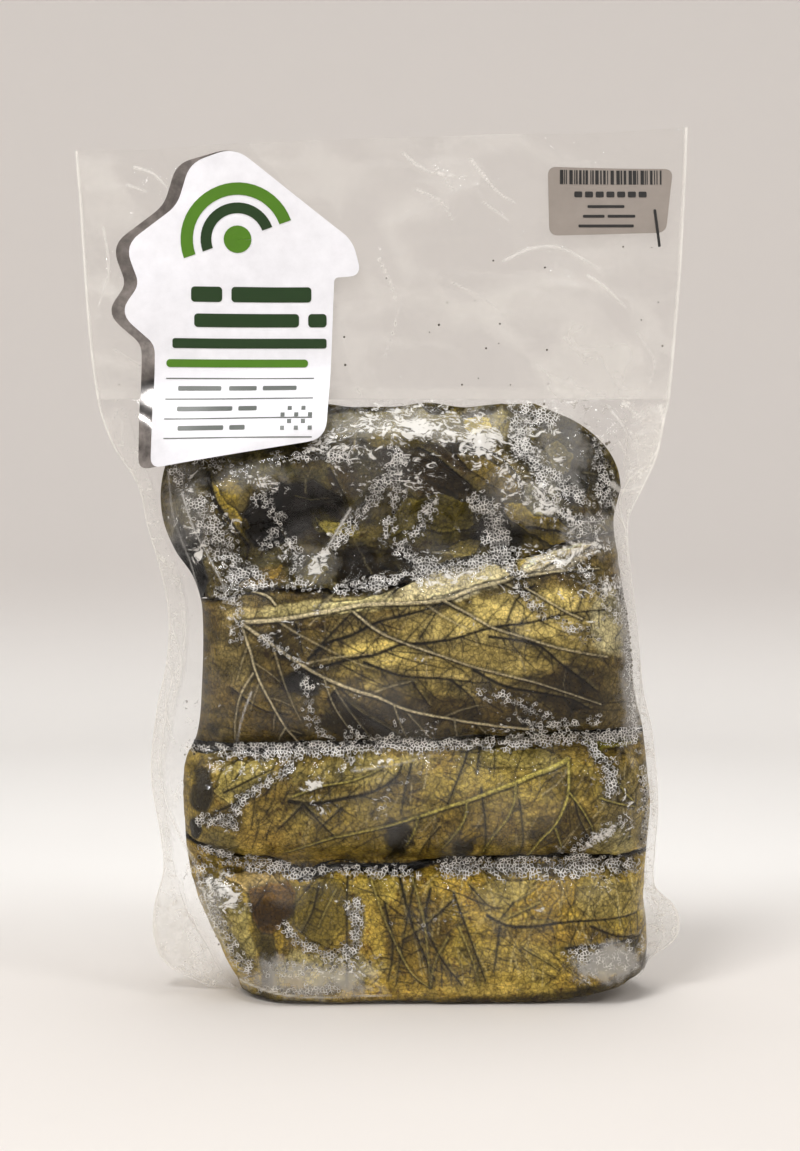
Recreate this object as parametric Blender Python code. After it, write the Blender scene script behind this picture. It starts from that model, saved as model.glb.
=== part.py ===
"""Vine leaf rolls for dolma in a clear vacuum bag, standing on its folded base.

The bag is one closed solid: its front and back walls hug four stacked leaf rolls,
meet in thin side seams, and run on above the heat seal as an empty, flat header.
Two labels lie on the header. Metres, +Z up, front towards -Y, origin under the middle
of the overall box.
"""

import math

import bmesh
import bpy
import numpy as np
from mathutils import Vector
from mathutils.bvhtree import BVHTree

MM = 0.001

# Driving dimensions, in millimetres
BAG_WIDTH = 200.0  # flat width of the bag at its open end
MOUTH_LEFT = 275.0  # height of the open end at its left corner
MOUTH_RIGHT = 283.0  # and at its right corner
SEAL_HEIGHT = 194.0  # heat seal across the bag
FILM_HALF = 0.6  # half of the two film layers with the air between them
WING_COLUMNS = 2  # facets across each side seam
FILLED_COLUMNS = 32  # facets across the leaves
ROWS_FILLED = 56  # facets from base to seal
ROWS_HEADER = 9  # facets from seal to open end
BASE_REACH = (-46.0, 50.0)  # stretch of the base that lies flat
CORNER_LIFT = (0.012, 0.022)  # how fast the lower left and lower right corners rise
CORNER_POWER = 1.7
CORNER_FADE = 60.0  # the lift is gone at this height

# Film edge seen from the front: (height, distance from the middle, width of the empty seam)
LEFT_EDGE = (
    (0, -60, 10), (5, -73, 18), (14, -78, 18), (26, -78, 11), (39, -75, 4), (51, -76, 3),
    (71, -79, 4), (93, -77, 6), (107, -74, 6), (122, -73, 6), (135, -75, 6), (153, -80, 5),
    (166, -83, 5), (179, -91, 8), (194, -96, 10), (235, -100, 10), (275, -103, 10),
)
RIGHT_EDGE = (
    (0, 80, 6), (4, 92, 10), (13, 95, 11), (23, 93, 9), (32, 87, 4), (45, 87, 3), (61, 88, 3),
    (85, 86, 3), (99, 83, 3), (120, 81, 3), (145, 78, 4), (155, 78, 5), (164, 82, 7),
    (175, 87, 10), (187, 89.5, 12), (194, 91, 12), (240, 95, 12), (283, 97, 12),
)

# Leaf rolls from the base up. Length runs along X; rise lifts the right end; arch
# lifts the middle over the ends; square is how box-like the section is.
ROLLS = (
    {"x": 13, "z": 20.0, "half_height": 24.0, "half_depth": 24.5, "rise": 0.02, "arch": -1.0,
     "square": 3.4},
    {"x": 8, "z": 63.5, "half_height": 20.5, "half_depth": 26.0, "rise": 0.0, "arch": 1.0,
     "square": 2.3},
    {"x": 8, "z": 114.0, "half_height": 32.0, "half_depth": 26.5, "rise": 0.03, "arch": -2.0,
     "square": 2.8},
    {"x": -5, "z": 152.0, "half_height": 19.0, "half_depth": 21.0, "rise": 0.03, "arch": 22.0,
     "square": 2.0},
)
ARCH_REACH = 77.0  # the arch is measured over this half length
ARCH_DROP = 1.6
END_RADIUS = 21.0  # the rolls' ends are rounded by this much towards the side seams
# Depth of the film that spans the grooves, at these heights
GROOVE_DEPTH = ((0, 15.5), (60, 16.5), (127, 16.5), (166, 12.0), (194, 7.0))
BACK_SHIFT = (5.0, 3.0)  # the back wall's rolls lie a little aside of the front's
BLEND = 5  # how sharply one roll's wall gives way to the next
CLOSE_HEIGHT = 12.0  # the walls run together over this height below the seal
CLOSE_ROUNDING = 0.55
EDGE_BUNCHING = 0.10  # facets lie closer towards the side seams
SWAY = (1.5, 55.0)  # the middle plane's lean in and out, and the height over which it turns
HEADER_LEAN = 2.0  # the open end leans back by this much
HEADER_FREE = 25.0  # folds reach their full size at this height above the seal

# Shallow folds of the empty header: (height of wave, waves across, waves up, phase)
HEADER_FOLDS = ((1.6, 1.3, 0.6, 0.4), (0.9, 2.7, -1.1, 1.9), (0.5, 4.1, 2.3, 3.0))

# Front label with a gabled top, as (across, up), and the corner radius at each point
GABLE_LABEL = (
    (-81.5, 170.5, 4), (-20.5, 180.0, 6), (-18.5, 233.5, 1.5), (-9.5, 234.0, 4.5),
    (-12.5, 245.5, 4), (-51.0, 276.0, 6), (-70.0, 271.0, 5), (-74.0, 257.0, 4),
    (-91.0, 244.0, 6), (-86.0, 231.0, 3), (-92.5, 221.5, 6), (-81.0, 211.5, 3),
)
CODE_STICKER = ((51.5, 247.0, 3), (89.5, 248.0, 3), (92.0, 269.0, 3), (51.0, 269.5, 3))
LABEL_THICK = 0.35
LABEL_GAP = 0.45  # adhesive gap between a label and the faceted film
LABEL_CELL = 5.0  # facet size on a label
LABEL_SPAN = 5.0  # a label is stiffer than film, so it bridges hollows narrower than this
LABEL_CORNER_STEPS = 4
PROBE_START = -80.0  # in front of the whole bag
PROBE_TURNS = 8  # places round each point of a label where the film's height is felt

LEAF_OLIVE = (0.175, 0.135, 0.028, 1.0)
LABEL_WHITE = (0.72, 0.72, 0.74, 1.0)
STICKER_GREY = (0.50, 0.48, 0.46, 1.0)


def clear_scene():
    for thing in list(bpy.data.objects):
        bpy.data.objects.remove(thing, do_unlink=True)


def finish(name, colour, roughness):
    """A Principled material."""
    made = bpy.data.materials.new(name)
    made.use_nodes = True
    shader = made.node_tree.nodes["Principled BSDF"]
    shader.inputs["Base Color"].default_value = colour
    shader.inputs["Roughness"].default_value = roughness
    shader.inputs["Metallic"].default_value = 0.0
    return made


def add_object(name, mesh, material):
    made = bpy.data.objects.new(name, mesh)
    mesh.materials.append(material)
    bpy.context.scene.collection.objects.link(made)
    mesh.shade_smooth()
    mesh.set_sharp_from_angle(angle=math.radians(50))
    return made


def curve_at(points, height, item):
    """The item of points at this height, on a smooth curve through them."""
    heights = [point[0] for point in points]
    if height <= heights[0]:
        return points[0][item]
    if height >= heights[-1]:
        return points[-1][item]
    i = next(k for k in range(len(points) - 1) if height <= heights[k + 1])
    start, end = points[i], points[i + 1]
    before, after = points[max(i - 1, 0)], points[min(i + 2, len(points) - 1)]
    span = end[0] - start[0]
    t = (height - start[0]) / span
    slope_in = (end[item] - before[item]) / (end[0] - before[0])
    slope_out = (after[item] - start[item]) / (after[0] - start[0])
    ease = 3 * t**2 - 2 * t**3
    bend = (t**3 - 2 * t**2 + t) * slope_in + (t**3 - t**2) * slope_out
    return (1 - ease) * start[item] + ease * end[item] + span * bend


def film_edges(z):
    return curve_at(LEFT_EDGE, z, 1), curve_at(RIGHT_EDGE, z, 1)


def filled_edges(z):
    """Where the leaves end, inside the empty side seams."""
    left, right = film_edges(z)
    return left + curve_at(LEFT_EDGE, z, 2), right - curve_at(RIGHT_EDGE, z, 2)


def roll_depth(roll, x, z):
    """How far a roll reaches from the bag's middle plane at (x, z), or 0 outside it."""
    along = (x - roll["x"]) / ARCH_REACH
    middle = roll["z"] + roll["rise"] * (x - roll["x"]) + roll["arch"] * (1 - ARCH_DROP * along**2)
    across = abs(z - middle) / roll["half_height"]
    if across >= 1:
        return 0.0
    return roll["half_depth"] * (1 - across ** roll["square"]) ** (1 / roll["square"])


def end_rounding(x, z):
    """1 over the middle of the leaves, falling like a quarter circle to 0 at their ends."""
    left, right = filled_edges(z)
    inside = min(x - left, right - x) / END_RADIUS
    if inside <= 0:
        return 0.0
    return math.sqrt(1 - (1 - min(1.0, inside)) ** 2)


def closing(z):
    """1 in the filled part, falling to 0 where the two walls meet at the heat seal."""
    left = max(0.0, (SEAL_HEIGHT - z) / CLOSE_HEIGHT)
    return min(1.0, left) ** CLOSE_ROUNDING


def wall_depth(x, z, back):
    """Distance of a wall from the middle plane: the film bridges the grooves between rolls."""
    aside, up = BACK_SHIFT if back else (0.0, 0.0)
    reach = [roll_depth(roll, x + aside, z + up) for roll in ROLLS]
    reach.append(curve_at(GROOVE_DEPTH, z, 1))
    filled = sum(r**BLEND for r in reach) ** (1 / BLEND)
    return math.hypot(FILM_HALF, filled * closing(z) * end_rounding(x, z))


def middle_plane(x, z):
    """The bag's middle sways a little, and the header above the seal lies in soft folds."""
    above = max(0.0, z - SEAL_HEIGHT)
    free = min(1.0, above / HEADER_FREE)
    size, height = SWAY
    sway = size * math.sin(z / height)
    folds = sum(
        fold * math.sin(2 * math.pi * (across * x / BAG_WIDTH + up * z / 100.0) + phase)
        for fold, across, up, phase in HEADER_FOLDS
    )
    return sway + free * (folds + HEADER_LEAN * above / (MOUTH_LEFT - SEAL_HEIGHT))


def base_line(x):
    """Height of the bag's lower edge: flat in the middle, lifting towards both corners."""
    if x < BASE_REACH[0]:
        return CORNER_LIFT[0] * (BASE_REACH[0] - x) ** CORNER_POWER
    if x > BASE_REACH[1]:
        return CORNER_LIFT[1] * (x - BASE_REACH[1]) ** CORNER_POWER
    return 0.0


def row_level(row):
    """Height of a row of facets at the left side: the filled part's rows, then the header's."""
    if row <= ROWS_FILLED:
        return SEAL_HEIGHT * row / ROWS_FILLED
    return SEAL_HEIGHT + (MOUTH_LEFT - SEAL_HEIGHT) * (row - ROWS_FILLED) / ROWS_HEADER


def wall_point(column, row):
    """(x, z) of a facet corner, in mm."""
    level = row_level(row)
    above = max(0.0, level - SEAL_HEIGHT) / (MOUTH_LEFT - SEAL_HEIGHT)
    z = level + above * (MOUTH_RIGHT - MOUTH_LEFT) * column / (FILLED_COLUMNS + 2 * WING_COLUMNS)
    left, right = film_edges(z)
    filled_left, filled_right = filled_edges(z)
    inner = column - WING_COLUMNS
    if inner <= 0:
        x = left + (filled_left - left) * column / WING_COLUMNS
    elif inner >= FILLED_COLUMNS:
        x = filled_right + (right - filled_right) * (inner - FILLED_COLUMNS) / WING_COLUMNS
    else:
        turn = EDGE_BUNCHING + (1 - 2 * EDGE_BUNCHING) * inner / FILLED_COLUMNS
        share = 0.5 - 0.5 * math.cos(math.pi * turn) / math.cos(math.pi * EDGE_BUNCHING)
        x = filled_left + (filled_right - filled_left) * share
    return x, z + base_line(x) * max(0.0, 1 - level / CORNER_FADE) ** 2


def sealed_bag(material):
    """Front and back walls from one triangulated grid, closed by the rim that extruding makes."""
    bm = bmesh.new()
    columns = FILLED_COLUMNS + 2 * WING_COLUMNS
    rows = ROWS_FILLED + ROWS_HEADER
    bmesh.ops.create_grid(bm, x_segments=columns, y_segments=rows, size=0.5)
    bmesh.ops.triangulate(bm, faces=bm.faces[:], quad_method="FIXED")
    raised = bmesh.ops.extrude_face_region(bm, geom=bm.faces[:], use_keep_orig=True)
    front = {v for v in raised["geom"] if isinstance(v, bmesh.types.BMVert)}
    for v in bm.verts:
        x, z = wall_point(round((v.co.x + 0.5) * columns), round((v.co.y + 0.5) * rows))
        side = -1 if v in front else 1
        v.co = Vector((x, middle_plane(x, z) + side * wall_depth(x, z, side > 0), z)) * MM
    bmesh.ops.recalc_face_normals(bm, faces=bm.faces[:])
    mesh = bpy.data.meshes.new("sealed_bag")
    bm.to_mesh(mesh)
    bm.free()
    return add_object("sealed_bag", mesh, material)


def rounded(outline):
    """The outline with each corner turned into an arc-like curve of its own radius."""
    points = []
    count = len(outline)
    for i, (x, z, radius) in enumerate(outline):
        here = Vector((x, z))
        before = Vector(outline[i - 1][:2]) - here
        after = Vector(outline[(i + 1) % count][:2]) - here
        start = here + before.normalized() * min(radius, before.length * 0.45)
        end = here + after.normalized() * min(radius, after.length * 0.45)
        for step in range(LABEL_CORNER_STEPS + 1):
            t = step / LABEL_CORNER_STEPS
            points.append((1 - t) ** 2 * start + 2 * t * (1 - t) * here + t**2 * end)
    return points


def foremost(wall, x, z):
    """How far forward the film comes within a label's span of (x, z), in mm."""
    around = [2 * math.pi * turn / PROBE_TURNS for turn in range(PROBE_TURNS)]
    places = [(x + LABEL_SPAN * math.cos(a), z + LABEL_SPAN * math.sin(a)) for a in around]
    places.append((x, z))
    hits = [wall.ray_cast(Vector((px, PROBE_START, pz)) * MM, Vector((0, 1, 0)))[0] for px, pz in places]
    return min(hit.y / MM for hit in hits if hit is not None)


def label(name, outline, wall, material):
    """A thin label: its flat outline is cut into cells, laid on the bag's front and thickened."""
    bm = bmesh.new()
    rim = [bm.verts.new((p.x, p.y, 0)) for p in rounded(outline)]
    bm.faces.new(rim)
    low_x, high_x = min(v.co.x for v in rim), max(v.co.x for v in rim)
    low_z, high_z = min(v.co.y for v in rim), max(v.co.y for v in rim)
    for low, high, normal in ((low_x, high_x, Vector((1, 0, 0))), (low_z, high_z, Vector((0, 1, 0)))):
        cuts = int((high - low) / LABEL_CELL)
        for k in range(1, cuts):
            place = normal * (low + (high - low) * k / cuts)
            geometry = bm.verts[:] + bm.edges[:] + bm.faces[:]
            bmesh.ops.bisect_plane(bm, geom=geometry, dist=1e-4, plane_co=place, plane_no=normal)
    bmesh.ops.triangulate(bm, faces=bm.faces[:], quad_method="FIXED")
    raised = bmesh.ops.extrude_face_region(bm, geom=bm.faces[:], use_keep_orig=True)
    front = {v for v in raised["geom"] if isinstance(v, bmesh.types.BMVert)}
    for v in bm.verts:
        depth = foremost(wall, v.co.x, v.co.y) - LABEL_GAP - (LABEL_THICK if v in front else 0.0)
        v.co = Vector((v.co.x, depth, v.co.y)) * MM
    bmesh.ops.recalc_face_normals(bm, faces=bm.faces[:])
    mesh = bpy.data.meshes.new(name)
    bm.to_mesh(mesh)
    bm.free()
    return add_object(name, mesh, material)


def wall_tree(thing):
    """A search tree of the bag's faces, to lay labels on them."""
    mesh = thing.data
    corners = [v.co.copy() for v in mesh.vertices]
    return BVHTree.FromPolygons(corners, [tuple(p.vertices) for p in mesh.polygons])


def centre_over_origin(things):
    """Moves every mesh so that the overall box stands on the origin's plane, centred over it."""
    points = np.array([v.co for thing in things for v in thing.data.vertices])
    low, high = points.min(axis=0), points.max(axis=0)
    shift = Vector((-(low[0] + high[0]) / 2, -(low[1] + high[1]) / 2, -low[2]))
    for thing in things:
        for v in thing.data.vertices:
            v.co += shift


def main():
    clear_scene()
    bag = sealed_bag(finish("leaves under clear film", LEAF_OLIVE, 0.25))
    wall = wall_tree(bag)
    front_label = label("gable_label", GABLE_LABEL, wall, finish("label", LABEL_WHITE, 0.3))
    sticker = label("code_sticker", CODE_STICKER, wall, finish("sticker", STICKER_GREY, 0.6))
    centre_over_origin((bag, front_label, sticker))


main()
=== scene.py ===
import math

import bpy
import numpy as np
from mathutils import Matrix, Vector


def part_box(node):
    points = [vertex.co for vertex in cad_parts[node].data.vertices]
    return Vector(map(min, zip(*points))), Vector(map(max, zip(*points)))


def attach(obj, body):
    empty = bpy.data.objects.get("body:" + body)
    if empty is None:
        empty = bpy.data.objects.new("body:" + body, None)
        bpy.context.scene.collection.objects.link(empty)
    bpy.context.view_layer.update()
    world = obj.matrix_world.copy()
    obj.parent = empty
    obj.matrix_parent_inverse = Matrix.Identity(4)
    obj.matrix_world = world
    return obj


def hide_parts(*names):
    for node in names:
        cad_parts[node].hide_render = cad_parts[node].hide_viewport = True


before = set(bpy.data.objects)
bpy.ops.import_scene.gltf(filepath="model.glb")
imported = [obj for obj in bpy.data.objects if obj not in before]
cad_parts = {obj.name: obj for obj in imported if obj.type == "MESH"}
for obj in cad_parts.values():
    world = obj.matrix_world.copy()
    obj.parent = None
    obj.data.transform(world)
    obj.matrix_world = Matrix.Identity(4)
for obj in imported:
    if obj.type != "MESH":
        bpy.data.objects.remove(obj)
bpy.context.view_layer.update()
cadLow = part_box("sealed_bag")[0]
bpy.ops.object.select_all(action="DESELECT")
bpy.context.scene.view_settings.view_transform = "Standard"  # plain colours, as a product photo
mm = 0.001

# The bag's own form, the same named sizes as its solid has, in millimetres
bag = {
    "sealHeight": 194.0,
    "mouthLeft": 275.0,
    "mouthRight": 283.0,
    "width": 200.0,
    "filmHalf": 0.6,  # half of the two layers with the air between them
    "baseReach": (-46.0, 50.0),  # the stretch of the base that lies flat
    "cornerLift": (0.012, 0.022),
    "cornerPower": 1.7,
    "cornerFade": 60.0,
    "endRadius": 21.0,
    "grooves": ((0, 15.5), (60, 16.5), (127, 16.5), (166, 12.0), (194, 7.0)),
    "backShift": (5.0, 3.0),
    "blend": 5,
    "closeHeight": 12.0,
    "closeRounding": 0.55,
    "sway": (1.5, 55.0),
    "headerLean": 2.0,
    "headerFree": 25.0,
    "headerFolds": ((1.6, 1.3, 0.6, 0.4), (0.9, 2.7, -1.1, 1.9), (0.5, 4.1, 2.3, 3.0)),
    "archReach": 77.0,
    "archDrop": 1.6,
}
# Film edges seen from the front: (height, distance from the middle, width of the empty seam)
leftEdge = (
    (0, -60, 10), (5, -73, 18), (14, -78, 18), (26, -78, 11), (39, -75, 4), (51, -76, 3),
    (71, -79, 4), (93, -77, 6), (107, -74, 6), (122, -73, 6), (135, -75, 6), (153, -80, 5),
    (166, -83, 5), (179, -91, 8), (194, -96, 10), (235, -100, 10), (275, -103, 10),
)
rightEdge = (
    (0, 80, 6), (4, 92, 10), (13, 95, 11), (23, 93, 9), (32, 87, 4), (45, 87, 3), (61, 88, 3),
    (85, 86, 3), (99, 83, 3), (120, 81, 3), (145, 78, 4), (155, 78, 5), (164, 82, 7),
    (175, 87, 10), (187, 89.5, 12), (194, 91, 12), (240, 95, 12), (283, 97, 12),
)
rolls = {
    "roll_base": {"x": 13, "z": 20.0, "halfHeight": 24.0, "halfDepth": 24.5, "rise": 0.02,
                  "arch": -1.0, "square": 3.4},
    "roll_second": {"x": 8, "z": 63.5, "halfHeight": 20.5, "halfDepth": 26.0, "rise": 0.0,
                    "arch": 1.0, "square": 2.3},
    "roll_wide": {"x": 8, "z": 114.0, "halfHeight": 32.0, "halfDepth": 26.5, "rise": 0.03,
                  "arch": -2.0, "square": 2.8},
    "roll_arch": {"x": -5, "z": 152.0, "halfHeight": 19.0, "halfDepth": 21.0, "rise": 0.03,
                  "arch": 22.0, "square": 2.0},
}

# The view: places read in the picture are taken back to the surface that they lie on
view = {
    "wide": 800,
    "high": 1151,
    "distance": 600.0,  # from the lens to the bag's middle plane
    "height": 149.0,
    "horizonRow": 537.0,
    "focalPixels": 1830.0,
    "middleColumn": 391.0,
}


def hexColour(code):
    parts = [int(code[i:i + 2], 16) / 255 for i in (1, 3, 5)]
    return [c / 12.92 if c <= 0.04045 else ((c + 0.055) / 1.055) ** 2.4 for c in parts]


def newMaterial(name):
    made = bpy.data.materials.new(name)
    made.use_nodes = True
    made.node_tree.nodes.clear()
    return made


def addNode(material, kind, settings=None, links=None):
    node = material.node_tree.nodes.new(kind)
    for key, value in (settings or {}).items():
        if isinstance(key, int) or key in node.inputs:
            node.inputs[key].default_value = value
        else:
            setattr(node, key, value)
    for key, source in (links or {}).items():
        material.node_tree.links.new(source, node.inputs[key])
    return node


def curveAt(points, heights, item):
    # a smooth curve through the points, as the solid's edges have
    table = np.array(points, float)
    z = np.clip(heights, table[0, 0], table[-1, 0])
    i = np.clip(np.searchsorted(table[:, 0], z, side="left") - 1, 0, len(table) - 2)
    start, end = table[i], table[i + 1]
    before, after = table[np.maximum(i - 1, 0)], table[np.minimum(i + 2, len(table) - 1)]
    span = end[..., 0] - start[..., 0]
    t = (z - start[..., 0]) / span
    slopeIn = (end[..., item] - before[..., item]) / (end[..., 0] - before[..., 0])
    slopeOut = (after[..., item] - start[..., item]) / (after[..., 0] - start[..., 0])
    ease = 3 * t**2 - 2 * t**3
    bend = (t**3 - 2 * t**2 + t) * slopeIn + (t**3 - t**2) * slopeOut
    return (1 - ease) * start[..., item] + ease * end[..., item] + span * bend


def filmEdges(z):
    return curveAt(leftEdge, z, 1), curveAt(rightEdge, z, 1)


def filledEdges(z):
    left, right = filmEdges(z)
    return left + curveAt(leftEdge, z, 2), right - curveAt(rightEdge, z, 2)


def rollMiddle(roll, x):
    along = (x - roll["x"]) / bag["archReach"]
    return roll["z"] + roll["rise"] * (x - roll["x"]) + roll["arch"] * (1 - bag["archDrop"] * along**2)


def rollDepth(roll, x, z):
    across = np.clip(np.abs(z - rollMiddle(roll, x)) / roll["halfHeight"], 0, 1)
    return roll["halfDepth"] * (1 - across ** roll["square"]) ** (1 / roll["square"])


def endRounding(x, z):
    left, right = filledEdges(z)
    inside = np.clip(np.minimum(x - left, right - x) / bag["endRadius"], 0, 1)
    return np.sqrt(1 - (1 - inside) ** 2)


def wallDepth(x, z, back=False):
    aside, up = bag["backShift"] if back else (0.0, 0.0)
    power = bag["blend"]
    filled = curveAt(bag["grooves"], z, 1) ** power
    for roll in rolls.values():
        filled = filled + rollDepth(roll, x + aside, z + up) ** power
    closing = np.clip((bag["sealHeight"] - z) / bag["closeHeight"], 0, 1) ** bag["closeRounding"]
    return np.hypot(bag["filmHalf"], filled ** (1 / power) * closing * endRounding(x, z))


def middlePlane(x, z):
    above = np.maximum(0.0, z - bag["sealHeight"])
    free = np.minimum(1.0, above / bag["headerFree"])
    size, height = bag["sway"]
    folds = sum(
        fold * np.sin(2 * math.pi * (across * x / bag["width"] + up * z / 100.0) + phase)
        for fold, across, up, phase in bag["headerFolds"]
    )
    lean = bag["headerLean"] * above / (bag["mouthLeft"] - bag["sealHeight"])
    return size * np.sin(z / height) + free * (folds + lean)


def baseLine(x):
    left, right = bag["baseReach"]
    low = bag["cornerLift"][0] * np.maximum(0, left - x) ** bag["cornerPower"]
    return low + bag["cornerLift"][1] * np.maximum(0, x - right) ** bag["cornerPower"]


# Where the solid's own middle was moved to, read off its box
sampleX, sampleZ = np.meshgrid(np.linspace(-80, 90, 120), np.linspace(0, 190, 200))
foremost = (middlePlane(sampleX, sampleZ) - wallDepth(sampleX, sampleZ)).min()
shiftX = cadLow.x / mm - min(edge[1] for edge in leftEdge)
shiftY = cadLow.y / mm - foremost


def frontFilm(x, z):
    return middlePlane(x, z) - wallDepth(x, z)


def backFilm(x, z):
    return middlePlane(x, z) + wallDepth(x, z, back=True)


def cloud(x, y, size, seed):
    # smooth random values from -1 to 1, in patches of this size
    table = np.random.default_rng(seed).uniform(-1, 1, (256, 256))
    gx, gy = np.asarray(x) / size, np.asarray(y) / size
    ix, iy = np.floor(gx).astype(int), np.floor(gy).astype(int)
    fx, fy = gx - ix, gy - iy
    fx, fy = fx * fx * (3 - 2 * fx), fy * fy * (3 - 2 * fy)
    corner = [[table[(iy + b) & 255, (ix + a) & 255] for a in (0, 1)] for b in (0, 1)]
    low = corner[0][0] * (1 - fx) + corner[0][1] * fx
    high = corner[1][0] * (1 - fx) + corner[1][1] * fx
    return low * (1 - fy) + high * fy


def clouds(x, y, size, seed, octaves=4, keep=0.55):
    total, weight, whole = 0.0, 1.0, 0.0
    for k in range(octaves):
        total = total + weight * cloud(x, y, size / 2**k, seed + k)
        whole += weight
        weight *= keep
    return total / whole


def ridges(x, y, size, seed, octaves=3):
    # sharp crests like crushed film, from 0 to 1
    total, weight, whole = 0.0, 1.0, 0.0
    for k in range(octaves):
        total = total + weight * (1 - np.abs(cloud(x, y, size / 2**k, seed + k))) ** 3
        whole += weight
        weight *= 0.5
    return total / whole


def smoothStep(low, high, value):
    t = np.clip((value - low) / (high - low), 0, 1)
    return t * t * (3 - 2 * t)


def softLine(points, step=1.2):
    # a rounded line through given points
    points = [np.array(p, float) for p in points]
    made = []
    for i in range(len(points) - 1):
        p0, p1 = points[max(i - 1, 0)], points[i]
        p2, p3 = points[i + 1], points[min(i + 2, len(points) - 1)]
        count = max(1, int(np.linalg.norm(p2 - p1) / step))
        for t in np.arange(count) / count:
            made.append(0.5 * (2 * p1 + (p2 - p0) * t + (2 * p0 - 5 * p1 + 4 * p2 - p3) * t**2
                               + (3 * p1 - p0 - 3 * p2 + p3) * t**3))
    made.append(points[-1])
    return np.array(made)


def gridPiece(name, across, up):
    bpy.ops.object.select_all(action="DESELECT")
    bpy.ops.mesh.primitive_grid_add(x_subdivisions=across, y_subdivisions=up, size=1, calc_uvs=False)
    thing = bpy.context.active_object
    thing.name = thing.data.name = name
    flat = np.empty(len(thing.data.vertices) * 3)
    thing.data.vertices.foreach_get("co", flat)
    column, row = flat[0::3] + 0.5, flat[1::3] + 0.5
    columns, rows = np.unique(np.round(column, 6)), np.unique(np.round(row, 6))
    column = np.rint(column * (len(columns) - 1)).astype(int)
    row = np.rint(row * (len(rows) - 1)).astype(int)
    return thing, row, column, len(rows), len(columns)


def moveGrid(thing, row, column, x, y, z):
    # every corner to its place, given in the bag's millimetres
    places = np.stack([x[row, column] + shiftX, y[row, column] + shiftY, z[row, column]], axis=1) * mm
    thing.data.vertices.foreach_set("co", places.ravel())
    thing.data.update()


def storeValue(thing, name, values):
    kind = "FLOAT" if values.ndim == 1 else "FLOAT_COLOR"
    layer = thing.data.attributes.new(name, kind, "POINT")
    if values.ndim == 1:
        layer.data.foreach_set("value", values.astype(np.float32))
    else:
        full = np.ones((len(values), 4), np.float32)
        full[:, :3] = values
        layer.data.foreach_set("color", full.ravel())


def smoothShade(thing):
    thing.data.shade_smooth()


def outward(thing, weld=0.00002):
    # closes the seams of a wrapped grid and points its faces outwards
    bpy.ops.object.select_all(action="DESELECT")
    thing.select_set(True)
    bpy.context.view_layer.objects.active = thing
    bpy.ops.object.mode_set(mode="EDIT")
    bpy.ops.mesh.select_all(action="SELECT")
    bpy.ops.mesh.remove_doubles(threshold=weld)
    bpy.ops.mesh.normals_make_consistent(inside=False)
    bpy.ops.object.mode_set(mode="OBJECT")


def meshPiece(name, verts, faces, material):
    mesh = bpy.data.meshes.new(name)
    mesh.from_pydata([tuple(v) for v in verts], [], faces)
    thing = bpy.data.objects.new(name, mesh)
    bpy.context.scene.collection.objects.link(thing)
    mesh.materials.append(material)
    return thing


print("helpers ready")

leaf = {
    "paleVein": "#8f8460",
    "darkVein": "#150e04",
    # colour of the painted highlight above a pressed vein's fold
    "paintedFoldHighlight": "#857a4c",
    "inset": 1.3,  # the leaves lie this far inside the film
    "cleftPower": 11,  # the clefts between the rolls are sharper than the film over them
    "cleftDeeper": 3.0,
    "cleftCarve": 2.0,
    "cleftWidth": 1.5,
    "underside": 3.4,  # up to here the base is darkened by painted shade
    "undersideRise": 0.045,
    "wobble": 1.6,  # how unevenly the leaves end at the clefts
    "squares": 96500,  # of mesh in each roll, which keeps a roll under 200,000 triangles
    "frontShare": 0.74,  # of the rows, for the shown side
    "waveSize": 9.0,
    "waveHeight": 0.8,
    "crumpleSize": 15.0,  # of the dents in the bent top roll
    "crumpleDepth": 3.4,
    "crumpleShift": 5.0,
    "topHeight": 191.8,
    "topUneven": 1.2,
    "paintedCleftShade": 0.93,
    "paintedUndersideShade": 0.85,
    "foamShade": 0.85,  # how dark the leaf is under foam
    "bladeCell": 0.9,  # the fine pattern of the leaf's blade
    "veinField": 1.9,
    "lightness": 1.4,
    "blueShare": 0.7,  # leaves come out too grey without this
    # the rolls' own ends, where they stop short of the film: height, distance from the middle
    "leftEnd": ((0, -49), (5, -51), (15, -56), (30, -63), (45, -67), (62, -68), (76, -67.5), (84, -64),
                (95, -62.5), (125, -62), (136, -65), (145, -71), (156, -75), (168, -75), (178, -71),
                (186, -62), (193, -45)),
    "rightEnd": ((0, 99), (140, 92), (152, 80), (162, 76), (172, 74), (180, 69), (187, 60), (193, 46)),
}
# The clefts between the rolls on the shown side: points across the bag
cleftLines = {
    "low": ((-66, 51), (-53, 46), (-40, 45.5), (-29, 40), (-17, 42.5), (8, 42.5), (18, 45), (82, 46)),
    "middle": ((-65, 80.5), (-44, 81.5), (-19, 82), (3, 83), (28, 84), (53, 85.5), (78, 86.5)),
    "high": ((-71, 127), (-56, 129.5), (-42, 132), (-13, 133), (3, 134), (12, 138), (32, 142.5),
             (53, 145.5), (64, 148), (78, 152)),
}


def cleftHeight(name, x):
    points = np.array(cleftLines[name], float)
    uneven = (1.6 if name == "high" else 0.6) * leaf["wobble"] * clouds(x, 0 * x, 9.0, 31 + len(name))
    return np.interp(x, points[:, 0], points[:, 1]) + uneven


def leafEdges(z):
    # the rolls leave the pouch's upper corners and parts of its sides empty
    left, right = filledEdges(np.clip(z, 0, bag["sealHeight"]))
    left = np.maximum(left, curveAt(leaf["leftEnd"], z, 1))
    return left, np.minimum(right, curveAt(leaf["rightEnd"], z, 1))


def leafEnds(x, z):
    left, right = leafEdges(z)
    inside = np.clip(np.minimum(x - left, right - x) / bag["endRadius"], 0, 1)
    return np.sqrt(1 - (1 - inside) ** 2)


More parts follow.
